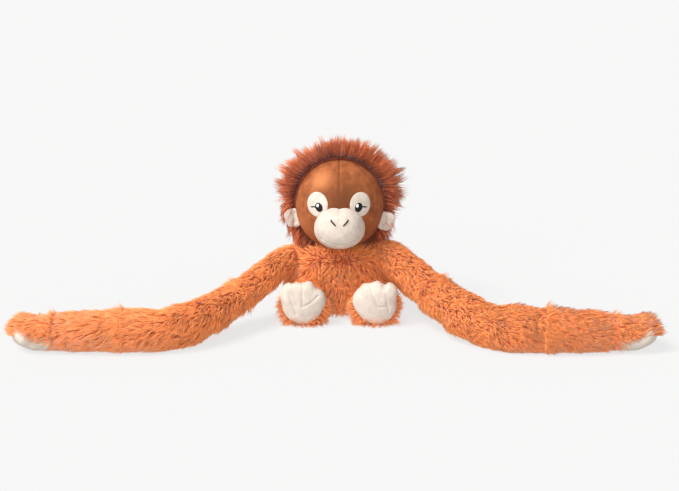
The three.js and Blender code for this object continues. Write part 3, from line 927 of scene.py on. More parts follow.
class Course:
    """A smooth line through a few points."""

    STEPS = 60

    def __init__(self, points: list[Vector]) -> None:
        """Lays the line.

        Args:
            points: Where it runs through.
        """
        ends = [2 * points[0] - points[1], *points, 2 * points[-1] - points[-2]]
        line = []
        for a, b, c, d in zip(ends, ends[1:], ends[2:], ends[3:]):
            for step in range(self.STEPS):
                line.append(self._between(a, b, c, d, step / self.STEPS))
        line.append(points[-1])
        self.line = np.array(line)
        gaps = np.linalg.norm(np.diff(self.line, axis=0), axis=1)
        self.length = gaps.sum()
        self.shares = np.append(0, np.cumsum(gaps)) / self.length

    @staticmethod
    def _between(a: Vector, b: Vector, c: Vector, d: Vector, t: float) -> Vector:
        """A Catmull-Rom point between b and c."""
        return 0.5 * (
            2 * b + (c - a) * t + (2 * a - 5 * b + 4 * c - d) * t**2 + (3 * b - a - 3 * c + d) * t**3
        )

    def at(self, shares: Array) -> Array:
        """The points at some shares of the length, past the ends too."""
        inside = np.clip(shares, 0, 1)
        points = np.column_stack([np.interp(inside, self.shares, self.line[:, k]) for k in range(3)])
        beyond = (shares - inside)[:, None] * self.length
        return points + beyond * self.way(inside)

    def way(self, shares: Array) -> Array:
        """The directions at some shares of the length."""
        step = 0.01
        low, high = np.clip(shares - step, 0, 1), np.clip(shares + step, 0, 1)
        ahead = np.column_stack([np.interp(high, self.shares, self.line[:, k]) for k in range(3)])
        behind = np.column_stack([np.interp(low, self.shares, self.line[:, k]) for k in range(3)])
        return unit(ahead - behind)

    def share_of(self, place: Vector) -> float:
        """The share of the length at which the line passes nearest a place."""
        return float(self.shares[np.argmin(np.linalg.norm(self.line - np.array(place), axis=1))])

    def nearest(self, points: Array) -> Array:
        """The share of the length nearest to each point."""
        tree = KDTree(len(self.line))
        for number, place in enumerate(self.line):
            tree.insert(place, number)
        tree.balance()
        return self.shares[[tree.find(point)[1] for point in points]]

    def tube(self, piece: bpy.types.Object, low: float, high: float, section: Field) -> None:
        """Bends a straight tube, from Z = 0 to Z = 1, onto a stretch of the line.

        Args:
            piece: The straight tube of radius 1.
            low: The share at which the stretch begins.
            high: The share at which it ends.
            section: Maps shares and points of the unit circle to offsets sideways and up.
        """
        points = Bench.points(piece)
        shares = low + (high - low) * points[:, 2]
        way = self.way(shares)
        sideways = unit(np.cross([0, 0, 1], way))
        upward = np.cross(way, sideways)
        offsets = section(shares, points[:, :2])
        centres = self.at(shares)
        Bench.place(piece, centres + sideways * offsets[:, :1] + upward * offsets[:, 1:])


# ---------------------------------------------------------------- torso


PLUSH_PILE = Pile(
    length=0.0125,
    per_mm2=0.96,
    width=0.00090,
    lock=0.0032,
    gather=0.48,
    rise=(26, 84),
    joints=2,
    wander=16,
    wander_size=0.03,
    stray=14,
)
ARM_PILE = replace(PLUSH_PILE, length=0.0148, gather=0.34, rise=(30, 90), stray=11)
SEAT_PILE = Pile(
    length=0.0024,
    per_mm2=0.9,
    width=0.0013,
    lock=0.004,
    gather=0.2,
    rise=(55, 80),
    joints=1,
    wander=10,
    wander_size=0.03,
    stray=6,
)


@dataclass
class Torso:
    """The pear-shaped body: a furry front and back, and the flat panel that it sits on."""

    seat_z: float = 0.005  # the cloth's height over the seat panel
    rim_z: float = 0.003
    depth_share: float = 0.76  # the body's depth as a share of its width
    pile_room: float = 0.005  # how far the cloth lies inside the outline, to leave room for pile

    def build(self) -> None:
        """Makes the body's pieces."""
        for name, node, away, seed in (
            ("body_front", "torso_front_skin", 1, 11),
            ("body_back", "torso_back_skin", -1, 12),
        ):
            cloth = self._cloth(name + "_cloth")
            Bench.cut(cloth, Vector((0, 0, 0)), Vector((0, away, 0)))
            pelt = Pelt(cloth, seed)
            pelt.grow(PLUSH_PILE, self._comb, self._length, self._lean)
            piece = pelt.finish(name, MATERIALS[Slot.PLUSH])
            put(piece, "torso", Slot.PLUSH, node)
        self._seat_panel()

    def _cloth(self, name: str) -> bpy.types.Object:
        """The closed pear, filled out."""
        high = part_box("torso_back_skin")[1]
        width = high.x
        inset = self.pile_room
        outline = Course(
            [
                Vector((0, 0, self.seat_z)),
                Vector((width - 0.030, 0, self.seat_z)),
                Vector((width - 0.019, 0, self.rim_z)),
                Vector((width - 0.0135, 0, self.rim_z + 0.005)),
                Vector((width - 0.002 - inset, 0, 0.019)),
                Vector((width - inset, 0, 0.036)),
                Vector((width - 0.004 - inset, 0, 0.0530)),
                Vector((width - 0.013 - inset, 0, high.z - 0.003)),
                Vector((width - 0.027 - inset, 0, high.z + 0.004)),
                Vector((width - 0.046 - inset, 0, high.z + 0.005)),
                Vector((0, 0, high.z + 0.005)),
            ]
        )
        cloth = Bench.ball(name, 72, 48)
        ball = Bench.points(cloth)
        polar = np.arccos(np.clip(-ball[:, 2], -1, 1)) / math.pi
        around = np.arctan2(ball[:, 1], ball[:, 0])
        profile = outline.at(polar)
        radius = np.maximum(profile[:, 0], 0)
        radius[(polar < 1e-4) | (polar > 1 - 1e-4)] = 0
        body = np.column_stack(
            [radius * np.cos(around), radius * self.depth_share * np.sin(around), profile[:, 2]]
        )
        body[:, 1] *= 1 + 0.08 * smoothstep(0.034, 0.010, body[:, 2])
        Bench.place(cloth, body)
        plump(cloth, voxel=0.005, pressure=3.0, cap=0.002)
        return cloth

    @staticmethod
    def _comb(points: Array, normals: Array) -> Array:
        """The pile lies downwards and a little outwards."""
        outward = unit(points * [1, 1, 0])
        collar = smoothstep(0.058, 0.070, points[:, 2])[:, None]
        return outward * (0.3 + 0.7 * collar) + np.array([0, 0, -1.0]) * (1 - collar)

    @staticmethod
    def _lean(points: Array, normals: Array) -> Array:
        """The pile stands up around the neck."""
        return 1 - 0.6 * smoothstep(0.060, 0.070, points[:, 2])

    def _length(self, points: Array, normals: Array) -> Array:
        """No pile on the cut or under the seat."""
        on_cut = (np.abs(points[:, 1]) < 0.0006) & (np.abs(normals[:, 1]) > 0.7)
        under = (points[:, 2] < 0.010) & (normals[:, 2] < -0.6)
        length = 0.75 + 0.25 * smoothstep(0.004, 0.03, points[:, 2])
        length += 0.15 * smoothstep(0.060, 0.070, points[:, 2])
        return np.where(on_cut | under, 0, length)

    def _seat_panel(self) -> None:
        """The oval panel of short pile under the seat, its edge turned in."""
        low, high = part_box("base_panel")
        panel = Bench.ball("seat_cloth", 96, 24)
        ball = Bench.points(panel)
        flat = np.sqrt(np.maximum(1 - ball[:, 2] ** 2, 0)) ** 0.5
        around = unit(ball * [1, 1, 0])
        half = (high - low) / 2
        centre = (high + low) / 2
        points = around * flat[:, None] * [half.x, half.y, 0]
        thickness = (half.z - FLOOR_CLEARANCE / 2) * np.sign(ball[:, 2]) * np.abs(ball[:, 2]) ** 0.5
        points += [centre.x, centre.y, centre.z + FLOOR_CLEARANCE / 2]
        points[:, 2] += thickness
        Bench.place(panel, points)
        pelt = Pelt(panel, 13)
        pelt.grow(SEAT_PILE, lambda roots, normals: np.tile([0, 1.0, 0], (len(roots), 1)))
        piece = pelt.finish("seat_panel", MATERIALS[Slot.PLUSH])
        put(piece, "torso", Slot.PLUSH, "base_panel")


# ---------------------------------------------------------------- arms


# The cloth's radius at the root, shoulder, upper arm's middle, elbow, past the elbow, forearm's
# middle and wrist. One arm is filled more than the other.
THIN_ARM = (0.0098, 0.0106, 0.0124, 0.0182, 0.0178, 0.0170, 0.0158)
FULL_ARM = (0.0138, 0.0148, 0.0165, 0.0185, 0.0200, 0.0190, 0.0158)


@dataclass
class Arm:
    """One long limp arm: three furry sleeves that overlap, each lying across a joint."""

    side: Side
    sag: float
    girth: tuple[float, ...]
    bow: float = 0.010
    overlap: float = 0.005

    def __post_init__(self) -> None:
        """Works out the line that the arm follows."""
        word, sign = self.side.word, self.side.sign
        self.shoulder = Vector(JOINTS[f"shoulder_raise_{word}"]["pos_m"])
        self.elbow = Vector(JOINTS[f"elbow_bend_{word}"]["pos_m"])
        self.wrist = Vector(JOINTS[f"wrist_lift_{word}"]["pos_m"])
        upper_middle = (self.shoulder + self.elbow) / 2 - Vector((0, 0, self.sag))
        fore_middle = (self.elbow + self.wrist) / 2 + Vector((0, -self.bow, 0.001))
        root = self.shoulder + Vector((-0.016 * sign, 0.004, 0.001))
        points = [root, self.shoulder + Vector((0, 0, 0.002)), upper_middle, self.elbow]
        points += [fore_middle, self.wrist]
        self.course = Course(points)
        self.upper_share = self.course.share_of(upper_middle)
        self.elbow_share = self.course.share_of(self.elbow)
        self.fore_share = self.course.share_of(fore_middle)
        self.shoulder_share = self.course.share_of(self.shoulder)

    def build(self) -> None:
        """Makes the arm's pieces."""
        word = self.side.word
        lap = self.overlap / self.course.length
        seed = 30 + 10 * (self.side is Side.LEFT)
        upper, fore = f"upper_arm_skin_{word}", f"forearm_skin_{word}"
        run = Vector(self.course.way(np.array([self.shoulder_share]))[0])
        root = self._sleeve("shoulder_sleeve", 0.0, self.upper_share + lap, seed)
        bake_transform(root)
        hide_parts(upper)
        bend = self._sleeve("elbow_sleeve", self.upper_share - lap, self.fore_share + lap, seed + 1)
        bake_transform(bend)
        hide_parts(upper, fore)
        cuff = self._sleeve("wrist_sleeve", self.fore_share - lap, 1 + 2 * lap, seed + 2)
        run = (self.wrist - self.elbow).normalized()
        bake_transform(cuff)
        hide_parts(fore)
        for piece in (root, bend, cuff):
            report(piece)

    def _girth(self, shares: Array) -> Array:
        """The cloth's radius along the arm."""
        past_elbow = self.elbow_share * 0.55 + self.fore_share * 0.45
        places = [0.0, self.shoulder_share, self.upper_share, self.elbow_share]
        places += [past_elbow, self.fore_share, 1.0]
        return np.interp(shares, places, self.girth) * (1 - 0.16 * smoothstep(0.95, 1.0, shares))

    def _sleeve(self, name: str, low: float, high: float, seed: int) -> bpy.types.Object:
        """One stretch of the arm's furry tube.

        Args:
            name: Its name, without the side.
            low: The share of the arm's length at which it begins.
            high: The share at which it ends.
            seed: What its random numbers start from.

        Returns:
            The piece.
        """
        rings = int((high - low) * self.course.length / 0.004)
        cloth = Bench.tube(f"{name}_cloth", 44, rings)
        lumps = Waves(0.045, np.random.default_rng(seed))

        def section(shares: Array, circle: Array) -> Array:
            """A lumpy round."""
            places = self.course.at(shares) + np.column_stack([circle * 0.02, circle[:, 0] * 0])
            radius = self._girth(shares) * (1 + 0.03 * lumps.at(places))
            return circle * radius[:, None]

        self.course.tube(cloth, low, high, section)
        edge = 0.0015 / self.course.length
        fray = Waves(0.006, np.random.default_rng(seed + 5))
        pelt = Pelt(cloth, seed)

        def comb(points: Array, normals: Array) -> Array:
            """The pile lies along the arm and a little down."""
            way = self.course.way(self.course.nearest(points))
            return way + [0, 0, -0.3]

        def length(points: Array, normals: Array) -> Array:
            """No pile on the sleeve's flat ends, and an uneven fringe at the wrist."""
            shares = self.course.nearest(points)
            way = self.course.way(shares)
            capped = np.abs(np.sum(way * normals, axis=1)) > 0.8
            ends = (shares < low + edge) | (shares > high - edge)
            share = 0.55 + 0.45 * smoothstep(0.0, 0.06, shares)
            share *= 1 + 0.3 * fray.at(points) * smoothstep(0.94, 1.0, shares)
            return np.where(capped & ends, 0, share)

        pelt.grow(ARM_PILE, comb, length)
        return pelt.finish(f"{name}_{self.side.word}", MATERIALS[Slot.PLUSH])


@dataclass
class Hand:
    """A mitten: a furry back that frays into finger tips, and a cream palm with a thumb."""

    side: Side
    half_width: float = 0.0205
    half_thickness: float = 0.0156
    roll: float = 10  # degrees, the palm turned a little forward
    seam_rise: float = 0.12  # how steeply the seam around the palm climbs to the finger tips
    lock_length: float = 0.012

    def __post_init__(self) -> None:
        """Works out where the hand lies."""
        word, sign = self.side.word, self.side.sign
        wrist = JOINTS[f"wrist_lift_{word}"]
        self.wrist = Vector(wrist["pos_m"])
        axis = Vector(wrist["axis"])
        self.reach = Vector((-axis.y, axis.x, 0)).normalized()
        low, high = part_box(f"hand_back_{word}")
        tip_x = high.x if sign > 0 else low.x
        length = (tip_x - self.wrist.x) / self.reach.x - 0.014
        self.tip = self.wrist + self.reach * length
        self.tip.z = 0.0216
        middle = (self.wrist + self.tip) / 2
        middle.z = 0.0166
        self.course = Course([self.wrist, middle, self.tip])

    def build(self) -> None:
        """Makes the hand's pieces."""
        word = self.side.word
        seed = 60 + 10 * (self.side is Side.LEFT)
        roll = math.radians(self.roll)
        backward = Vector((0, math.sin(roll), math.cos(roll))) - self.reach * self.seam_rise
        backward.normalize()
        middle = Vector(self.course.at(np.array([0.5]))[0])
        back = self._mitten("hand_back_cloth", 0.0)
        Bench.cut(back, middle, -backward)
        pelt = Pelt(back, seed)
        up = np.array(backward)

        def comb(points: Array, normals: Array) -> Array:
            """The pile lies towards the finger tips and the seam."""
            outward = points - np.array(middle)
            outward -= (outward @ up)[:, None] * up
            return np.array(self.reach) + unit(outward) * 0.5 + [0, 0, -0.2]

        def length(points: Array, normals: Array) -> Array:
            """No pile on the cut, where the palm is sewn on."""
            return np.where(normals @ up < -0.9, 0, 0.88)

        pelt.grow(ARM_PILE, comb, length)
        lock = Pile(
            length=self.lock_length,
            per_mm2=1.7,
            width=0.0013,
            lock=0.009,
            gather=0.5,
            rise=(6, 40),
            joints=3,
            wander=4,
            wander_size=0.03,
            stray=4,
        )
        across = np.cross(np.array(self.reach), up)
        across *= np.sign(across[1])
        spots = []
        for along, over in ((0.60, 0.85), (0.90, 0.80), (1.12, 0.50), (1.20, 0.0)):
            centre = np.array(self.wrist.lerp(self.tip, along)) + across * over * self.half_width
            centre[2] = middle.z + 0.008
            spots.append(centre)

        def locks(points: Array, normals: Array) -> Array:
            """Long hair grows at the finger tips only."""
            gap = np.min([np.linalg.norm(points - spot, axis=1) for spot in spots], axis=0)
            share = 1 - smoothstep(0.0045, 0.0075, gap)
            return np.where(normals @ up < -0.9, 0, share)

        def splay(points: Array, normals: Array) -> Array:
            """The finger tips point away from the wrist and up."""
            outward = unit(points - np.array(self.wrist.lerp(self.tip, 0.35)))
            return outward + up * 0.4

        pelt.grow(lock, splay, locks)
        piece = pelt.finish(f"hand_back_fur_{word}", MATERIALS[Slot.PLUSH])
        put(piece, f"hand_{word}", Slot.PLUSH, f"hand_back_{word}")
        self._palm(backward, middle)

    def _mitten(self, name: str, swell: float) -> bpy.types.Object:
        """The whole hand as a closed, rolled oval tube with a round end.

        Args:
            name: The piece's name.
            swell: How much bigger it is all round.

        Returns:
            The piece.
        """
        cloth = Bench.tube(name, 56, 36)
        roll = math.radians(self.roll) * (1 if self.side is Side.RIGHT else -1)

        def section(shares: Array, circle: Array) -> Array:
            """An oval that narrows at the wrist and closes round the finger tips."""
            places = [0, 0.1, 0.3, 0.55, 0.85, 1.0, 1.12, 1.22, 1.28]
            widths = [0.74, 0.80, 0.95, 1.0, 0.96, 0.86, 0.72, 0.50, 0.06]
            depths = [1.0, 1.0, 1.0, 1.0, 0.90, 0.76, 0.64, 0.46, 0.06]
            wide = self.half_width * np.interp(shares, places, widths) + swell
            deep = self.half_thickness * np.interp(shares, places, depths) + swell
            x, y = circle[:, 0] * wide, circle[:, 1] * deep
            return np.column_stack(
                [x * math.cos(roll) - y * math.sin(roll), x * math.sin(roll) + y * math.cos(roll)]
            )

        self.course.tube(cloth, -0.16, 1.28, section)
        rest_on_floor(cloth)
        return cloth

    def _palm(self, backward: Vector, middle: Vector) -> None:
        """The cream palm, with the thumb on its near side."""
        word = self.side.word
        palm = self._mitten("palm_pad_" + word, 0.0022)
        Bench.cut(palm, middle + backward * 0.0015, backward)
        Bench.modify(palm, "BEVEL", width=0.0016, segments=3, limit_method="ANGLE")
        thumb = Bench.ball("thumb_" + word, 32, 20)
        ball = Bench.points(thumb)
        root = self.wrist.lerp(self.tip, 0.78)
        root.y -= self.half_width * 0.98
        root.z = 0.0180
        reach = np.array(self.reach)
        up = np.array([0, 0.0, 1.0])
        across = np.cross(up, reach)
        shape = ball[:, :1] * (reach * 0.0105 + up * 0.0055) + ball[:, 1:2] * across * 0.0065
        shape = shape + ball[:, 2:] * (up * 0.0075 - reach * 0.003)
        bend = 0.0020 * (ball[:, :1] ** 2) * up
        Bench.place(thumb, np.array(root) + shape + bend)
        Bench.take(palm)
        thumb.select_set(True)
        bpy.ops.object.join()
        plump(palm, voxel=0.0022, pressure=3.0, cap=0.0012)
        Bench.modify(palm, "SMOOTH", factor=0.5, iterations=3)
        Bench.modify(palm, "SUBSURF", levels=1, render_levels=1)
        rest_on_floor(palm)
        Bench.smooth(palm, 80)
        Bench.dress(palm, MATERIALS[Slot.CREAM])
        put(palm, f"hand_{word}", Slot.CREAM, f"palm_{word}")


# ---------------------------------------------------------------- legs


@dataclass(frozen=True)
class Toe:
    """A bump, or with a negative reach a notch, in a sole's outline."""

    angle: float  # degrees from the outer side, over the top
    reach: float
    spread: float  # degrees


@dataclass
class Leg:
    """A short furry leg that ends in a padded cream sole with toes."""

    side: Side
    turn: float  # degrees, the toes leaning outwards
    radius: float = 0.0215
    sole_radius: float = 0.0240
    sole_thickness: float = 0.0150
    sole_shift: float = 0.0025  # how far the sole's middle lies outside the leg's
    sole_height: float = 0.0262  # of its middle
    toes: tuple[Toe, ...] = (
        Toe(44, 0.0066, 17),
        Toe(67, -0.0010, 6),
        Toe(88, 0.0034, 14),
        Toe(107, -0.0006, 6),
        Toe(125, 0.0042, 14),
        Toe(160, -0.0044, 12),
        Toe(188, 0.0022, 16),
    )

    def build(self) -> None:
        """Makes the leg's pieces."""
        word, sign = self.side.word, self.side.sign
        body = f"leg_{word}"
        hip = Vector(JOINTS[f"hip_lift_{word}"]["pos_m"])
        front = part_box(f"leg_skin_{word}")[0].y
        course = Course([hip + Vector((0, 0.010, 0)), hip, Vector((hip.x, front - 0.002, hip.z))])
        cloth = Bench.tube("leg_cloth_" + word, 48, 14)

        def section(shares: Array, circle: Array) -> Array:
            """A round that widens a little towards the sole."""
            radius = self.radius + 0.0018 * smoothstep(0.4, 1.0, shares)
            return circle * radius[:, None] - np.array([0, 0.0015])

        course.tube(cloth, 0.0, 1.0, section)
        pelt = Pelt(cloth, 90 + (self.side is Side.LEFT))
        centre = np.array(hip)

        def comb(points: Array, normals: Array) -> Array:
            """The pile lies forwards, spreads out around the sole, and runs on under it."""
            outward = unit((points - centre) * [1, 0, 1])
            near = smoothstep(front + 0.016, front, points[:, 1])[:, None]
            below = smoothstep(-0.45, -0.85, outward[:, 2:])
            spread = (0.5 + 1.3 * near) * (1 - 0.75 * below)
            return outward * spread + np.array([0.0, -1.0, 0]) * (1 - 0.9 * near * (1 - below))

        def length(points: Array, normals: Array) -> Array:
            """Short above the toes, longest under the sole, and none on the flat ends."""
            capped = np.abs(normals[:, 1]) > 0.85
            outward = unit((points - centre) * [1, 0, 1])
            low = smoothstep(0.6, -0.1, outward[:, 2] - 0.15 * sign * outward[:, 0])
            below = smoothstep(-0.45, -0.85, outward[:, 2])
            return np.where(capped, 0, 0.35 + 0.75 * low + 0.35 * below)

        def lean(points: Array, normals: Array) -> Array:
            """The pile stands up more next to the sole."""
            return 1 - 0.35 * smoothstep(front + 0.012, front, points[:, 1])

        pelt.grow(PLUSH_PILE, comb, length, lean)
        fur = pelt.finish(f"leg_fur_{word}", MATERIALS[Slot.PLUSH])
        put(fur, body, Slot.PLUSH, f"leg_skin_{word}")
        self._sole(front)

    def _outline(self, angles: Array) -> Array:
        """The sole's radius in each direction, in degrees from the outer side over the top."""
        radius = np.full(len(angles), self.sole_radius)
        for toe in self.toes:
            gap = (angles - toe.angle + 180) % 360 - 180
            radius = radius + toe.reach * np.exp(-((gap / toe.spread) ** 2))
        return radius

    def _stuffed(self, centre: Vector, angles: Array) -> Array:
        """The radius at which the sole covers its stuffing, in the directions that _outline takes."""
        points = Bench.points(frame["nodes"][f"foot_stuffing_{self.side.word}"])
        across = (points[:, 0] - centre.x) * self.side.sign
        upward = points[:, 2] - centre.z
        spots = np.degrees(np.arctan2(upward, across)) + self.turn
        gap = np.abs((angles[:, None] - spots[None] + 180) % 360 - 180)
        return np.max(np.where(gap < 8, np.hypot(across, upward), 0), axis=1) + 0.0014

    def _sole(self, back: float) -> None:
        """The padded sole, with stitched lines between the toes."""
        word, sign = self.side.word, self.side.sign
        hip = Vector(JOINTS[f"hip_lift_{word}"]["pos_m"])
        centre = Vector((hip.x + sign * self.sole_shift, back, self.sole_height))
        sole = Bench.ball(f"sole_{word}", 144, 40)
        ball = Bench.points(sole)
        angles = np.degrees(np.arctan2(ball[:, 1], ball[:, 0]))
        flat = np.sqrt(ball[:, 0] ** 2 + ball[:, 1] ** 2)
        radius = np.maximum(self._outline(angles), self._stuffed(centre, angles)) * flat**0.8
        turned = np.radians(angles + self.turn * -1)
        height = np.sign(ball[:, 2]) * np.abs(ball[:, 2]) ** 0.5
        front = self.sole_thickness * np.where(height > 0, height, height * 0.25)
        shape = np.column_stack(
            [sign * radius * np.cos(turned), -front, radius * np.sin(turned)]
        )
        Bench.place(sole, np.array(centre) + shape)
        Bench.turn_out(sole)
        plump(sole, voxel=0.0022, pressure=3.5, cap=0.0018)
        Bench.modify(sole, "SMOOTH", factor=0.5, iterations=2)
        Bench.modify(sole, "SUBSURF", levels=1, render_levels=1)
        for line in self._stitches(centre):
            dent(sole, line, 0.0015, 0.0011)
        rest_on_floor(sole)
        Bench.smooth(sole, 80)
        Bench.dress(sole, MATERIALS[Slot.CREAM])
        put(sole, f"leg_{word}", Slot.CREAM, f"foot_skin_{word}")

    def _stitches(self, centre: Vector) -> list[list[Vector]]:
        """The sewn lines on the sole, in millimetres from its middle: between and below the toes."""
        lines = {
            Side.LEFT: (
                ((-8.5, 26), (-4.5, 14), (-0.5, 4), (1.0, -1.0), (10.0, -1.0)),
                ((9.5, 25), (11.0, 14), (11.4, 2), (14.6, -7)),
            ),
            Side.RIGHT: (
                ((-8.5, 26), (-4.0, 14), (-1.0, 3), (0.0, -1.0), (-10.0, 1.0), (-20.0, 6.0)),
                ((9.5, 25), (11.5, 12), (11.0, 2), (9.5, -8)),
            ),
        }[self.side]
        turn = math.radians(-self.turn)
        front = centre.y - self.sole_thickness
        made = []
        for line in lines:
            corners = []
            for x, z in line:
                x, z = x * math.cos(turn) - z * math.sin(turn), x * math.sin(turn) + z * math.cos(turn)
                sag = 0.0045 * min((x * x + z * z) / 26**2, 1) ** 1.5
                place = Vector((self.side.sign * x / 1000, 0, z / 1000))
                corners.append(Vector((centre.x, front + sag, centre.z)) + place)
            made.append(corners)
        return made


# ---------------------------------------------------------------- head


MANE_PILE = Pile(
    length=0.032,
    per_mm2=1.3,
    width=0.00096,
    lock=0.0066,
    gather=0.36,
    rise=(4, 36),
    joints=3,
    wander=26,
    wander_size=0.026,
    stray=18,
    droop=0.002,
)


@dataclass
class Head:
    """The round head: two face panels, a hairy mane, a padded muzzle, ears and a sewn face."""

    cloth: float = 0.0025
    patch_thickness: float = 0.0009
    half: Vector = field(default_factory=lambda: Vector((0.053, 0.049, 0.055)))
    skull_y: float = -0.008
    eye_half: tuple[float, float] = (0.0043, 0.0055)
    eye_lean: float = 18  # degrees, the eyes' tops leaning outwards
    ear_height: float = 0.116  # the hair parts around this place on the seam
    ear_lean: float = 11  # degrees

    def __post_init__(self) -> None:
        """Measures the skull and the muzzle."""
        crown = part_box("face_panel_right")[1].z + self.cloth / 3
        self.centre = Vector((0, self.skull_y, crown - self.half.z))
        self.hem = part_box("mane_panel_right")[0].z + 0.004

    def build(self) -> None:
        """Makes the head's pieces."""
        self._face_panels()
        self._mane()
        self._muzzle()
        for side in Side:
            self._eye(side)
            self._nostril(side)
            self._ear(side)

    def _skull(self, name: str, grown: float = 0.0) -> bpy.types.Object:
        """The whole skull as an egg, grown by some thickness."""
        skull = Bench.ball(name, 128, 84)
        ball = Bench.points(skull)
        half = np.array(self.half) + grown
        Bench.place(skull, ball * half + np.array(self.centre))
        return skull

    def _face_panels(self) -> None:
        """The two panels of the face, with a seam down the brow."""
        for side in Side:
            panel = self._skull(f"face_cloth_{side.word}")
            Bench.cut(panel, Vector((0, SEAM_PLANE_Y, 0)), Vector((0, 1, 0)), fill=False)
            Bench.cut(panel, Vector((0, 0, 0)), Vector((-side.sign, 0, 0)), fill=False)
            points = Bench.points(panel)
            self._sink_seams(points)
            Bench.place(panel, points)
            Bench.modify(panel, "SOLIDIFY", thickness=self.cloth, offset=-1.0)
            Bench.smooth(panel, 70)
            Bench.dress(panel, MATERIALS[Slot.FACE])
            put(panel, "head", Slot.FACE, f"face_panel_{side.word}")

    def _sink_seams(self, points: Array) -> None:
        """Turns the cloth in along the brow's seam and where it meets the mane."""
        above = smoothstep(self.centre.z + 0.012, self.centre.z + 0.030, points[:, 2])
        brow = 0.0013 * above * np.exp(-((points[:, 0] / 0.0010) ** 2))
        brow += 0.0004 * above * np.exp(-((points[:, 0] / 0.004) ** 2))
        rim = 0.0018 * np.exp(-(((SEAM_PLANE_Y - points[:, 1]) / 0.0028) ** 2))
        inward = unit(np.array(self.centre) - points)
        points += inward * np.maximum(brow, rim)[:, None]

    def _mane(self) -> None:
        """The long-haired back of the head, from the seam over the crown to the nape."""
        for side, seed in ((Side.RIGHT, 21), (Side.LEFT, 22)):
            cloth = self._skull(f"mane_cloth_{side.word}", 0.0008)
            Bench.cut(cloth, Vector((0, SEAM_PLANE_Y, 0)), Vector((0, -1, 0)), fill=False)
            Bench.cut(cloth, Vector((0, 0, 0)), Vector((-side.sign, 0, 0)), fill=False)
            Bench.cut(cloth, Vector((0, 0, self.hem)), Vector((0, 0, -1)), fill=False)
            Bench.modify(cloth, "SOLIDIFY", thickness=self.cloth, offset=-1.0)
            pelt = Pelt(cloth, seed)
            pelt.grow(MANE_PILE, self._mane_comb, self._mane_length, self._mane_lean)
            piece = pelt.finish(f"mane_hair_{side.word}", MATERIALS[Slot.MANE])
            put(piece, "head", Slot.MANE, f"mane_panel_{side.word}")

    def _mane_comb(self, points: Array, normals: Array) -> Array:
        """The hair stands away from the face at the rim and lies down the back."""
        behind = smoothstep(0.0, 0.05, points[:, 1] - SEAM_PLANE_Y)[:, None]
        side = np.abs(points[:, :1]) / self.half.x
        backward = np.array([0, 1.0, 0]) + np.array([0, 0, -0.5]) * side
        return backward * (1 - behind) + np.array([0, 0.1, -1.0]) * behind

    def _mane_length(self, points: Array, normals: Array) -> Array:
        """The hair is longest at the crown, and there is none on the cloth's inside."""
        outward = np.sum(unit(points - np.array(self.centre)) * normals, axis=1) > 0.55
        height = (points[:, 2] - self.centre.z) / self.half.z
        length = 0.74 + 0.22 * smoothstep(-0.3, 0.8, height)
        length += 0.12 * smoothstep(-0.25, -0.7, height)
        tuft = np.exp(-(((points[:, 0] - 0.005) / 0.010) ** 2)) * smoothstep(0.6, 0.95, height)
        length -= 0.13 * smoothstep(0.45, 0.9, height)
        length += 0.07 * tuft
        length += 0.08 * smoothstep(0.0, 0.5, points[:, 0] / self.half.x) * (height > 0)
        return np.where(outward, length, 0)

    def _mane_lean(self, points: Array, normals: Array) -> Array:
        """It lies flatter towards the back, and leans away behind the ears."""
        gap = np.linalg.norm(points * [0, 1, 1] - [0, SEAM_PLANE_Y, self.ear_height], axis=1)
        back = points[:, 1] - SEAM_PLANE_Y
        lean = 1.2 * smoothstep(0.0, 0.010, back) - 0.5 + 1.5 * smoothstep(0.0, 0.035, back)
        return np.maximum(lean, 2.5 * smoothstep(0.038, 0.022, gap))

    def _muzzle(self) -> None:
        """The padded cream dome under the eyes, with a seam down its top and a soft mouth."""
        low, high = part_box("muzzle_skin")
        centre = Vector((0, 0, (low.z + high.z) / 2 - 0.0006))
        wide, tall = (high.x - low.x) / 2 + 0.0012, (high.z - low.z) / 2 + 0.0018
        muzzle = Bench.ball("muzzle_pad", 160, 96)
        ball = Bench.points(muzzle)
        angle = np.arctan2(ball[:, 2], ball[:, 0])
        flat = np.sqrt(ball[:, 0] ** 2 + ball[:, 2] ** 2)
        reach = squarish(angle, 2.25)
        notch = 0.0022 * np.exp(-(((np.degrees(angle) - 90) / 5.5) ** 2))
        narrow = 1 - 0.09 * np.maximum(np.sin(angle), 0)
        across = flat * (reach * np.cos(angle) * wide * narrow)
        upward = flat * (reach * np.sin(angle) * tall - notch)
        depth = np.maximum(1 - flat**2.8, 0) ** 0.5
        front = low.y + 0.0004
        rim = self._skull_y(across / np.maximum(flat, 1e-6), centre.z + upward / np.maximum(flat, 1e-6))
        rim = rim + 0.001
        bulge = (rim - front) * depth
        facing = ball[:, 1] < 0
        inner = self._skull_y(across, centre.z + upward) + 0.002
        y = np.where(facing, rim - bulge, np.maximum(inner, rim))
        Bench.place(muzzle, np.column_stack([across, y, centre.z + upward]))
        Bench.turn_out(muzzle)
        plump(muzzle, voxel=0.0028, pressure=2.0, cap=0.0010)
        Bench.modify(muzzle, "SMOOTH", factor=0.5, iterations=4)
        Bench.modify(muzzle, "SUBSURF", levels=2, render_levels=2)
        seam = [Vector((0, front + 0.016, high.z - 0.001)), Vector((0, front + 0.003, high.z - 0.011))]
        dent(muzzle, seam, 0.0019, 0.0009)
        skin = Bench.tree(muzzle)
        mouth = []
        for x in np.linspace(-0.021, 0.021, 15):
            z = centre.z - tall + 0.0108 + 14 * x * x
            mouth.append(Vector((x, self._hit(skin, x, z), z)))
        dent(muzzle, mouth, 0.0021, 0.0011)
        Bench.smooth(muzzle, 80)
        Bench.dress(muzzle, MATERIALS[Slot.CREAM])
        put(muzzle, "head", Slot.CREAM, "muzzle_skin")
        self.muzzle = Bench.tree(muzzle)
        self.muzzle_middle = centre

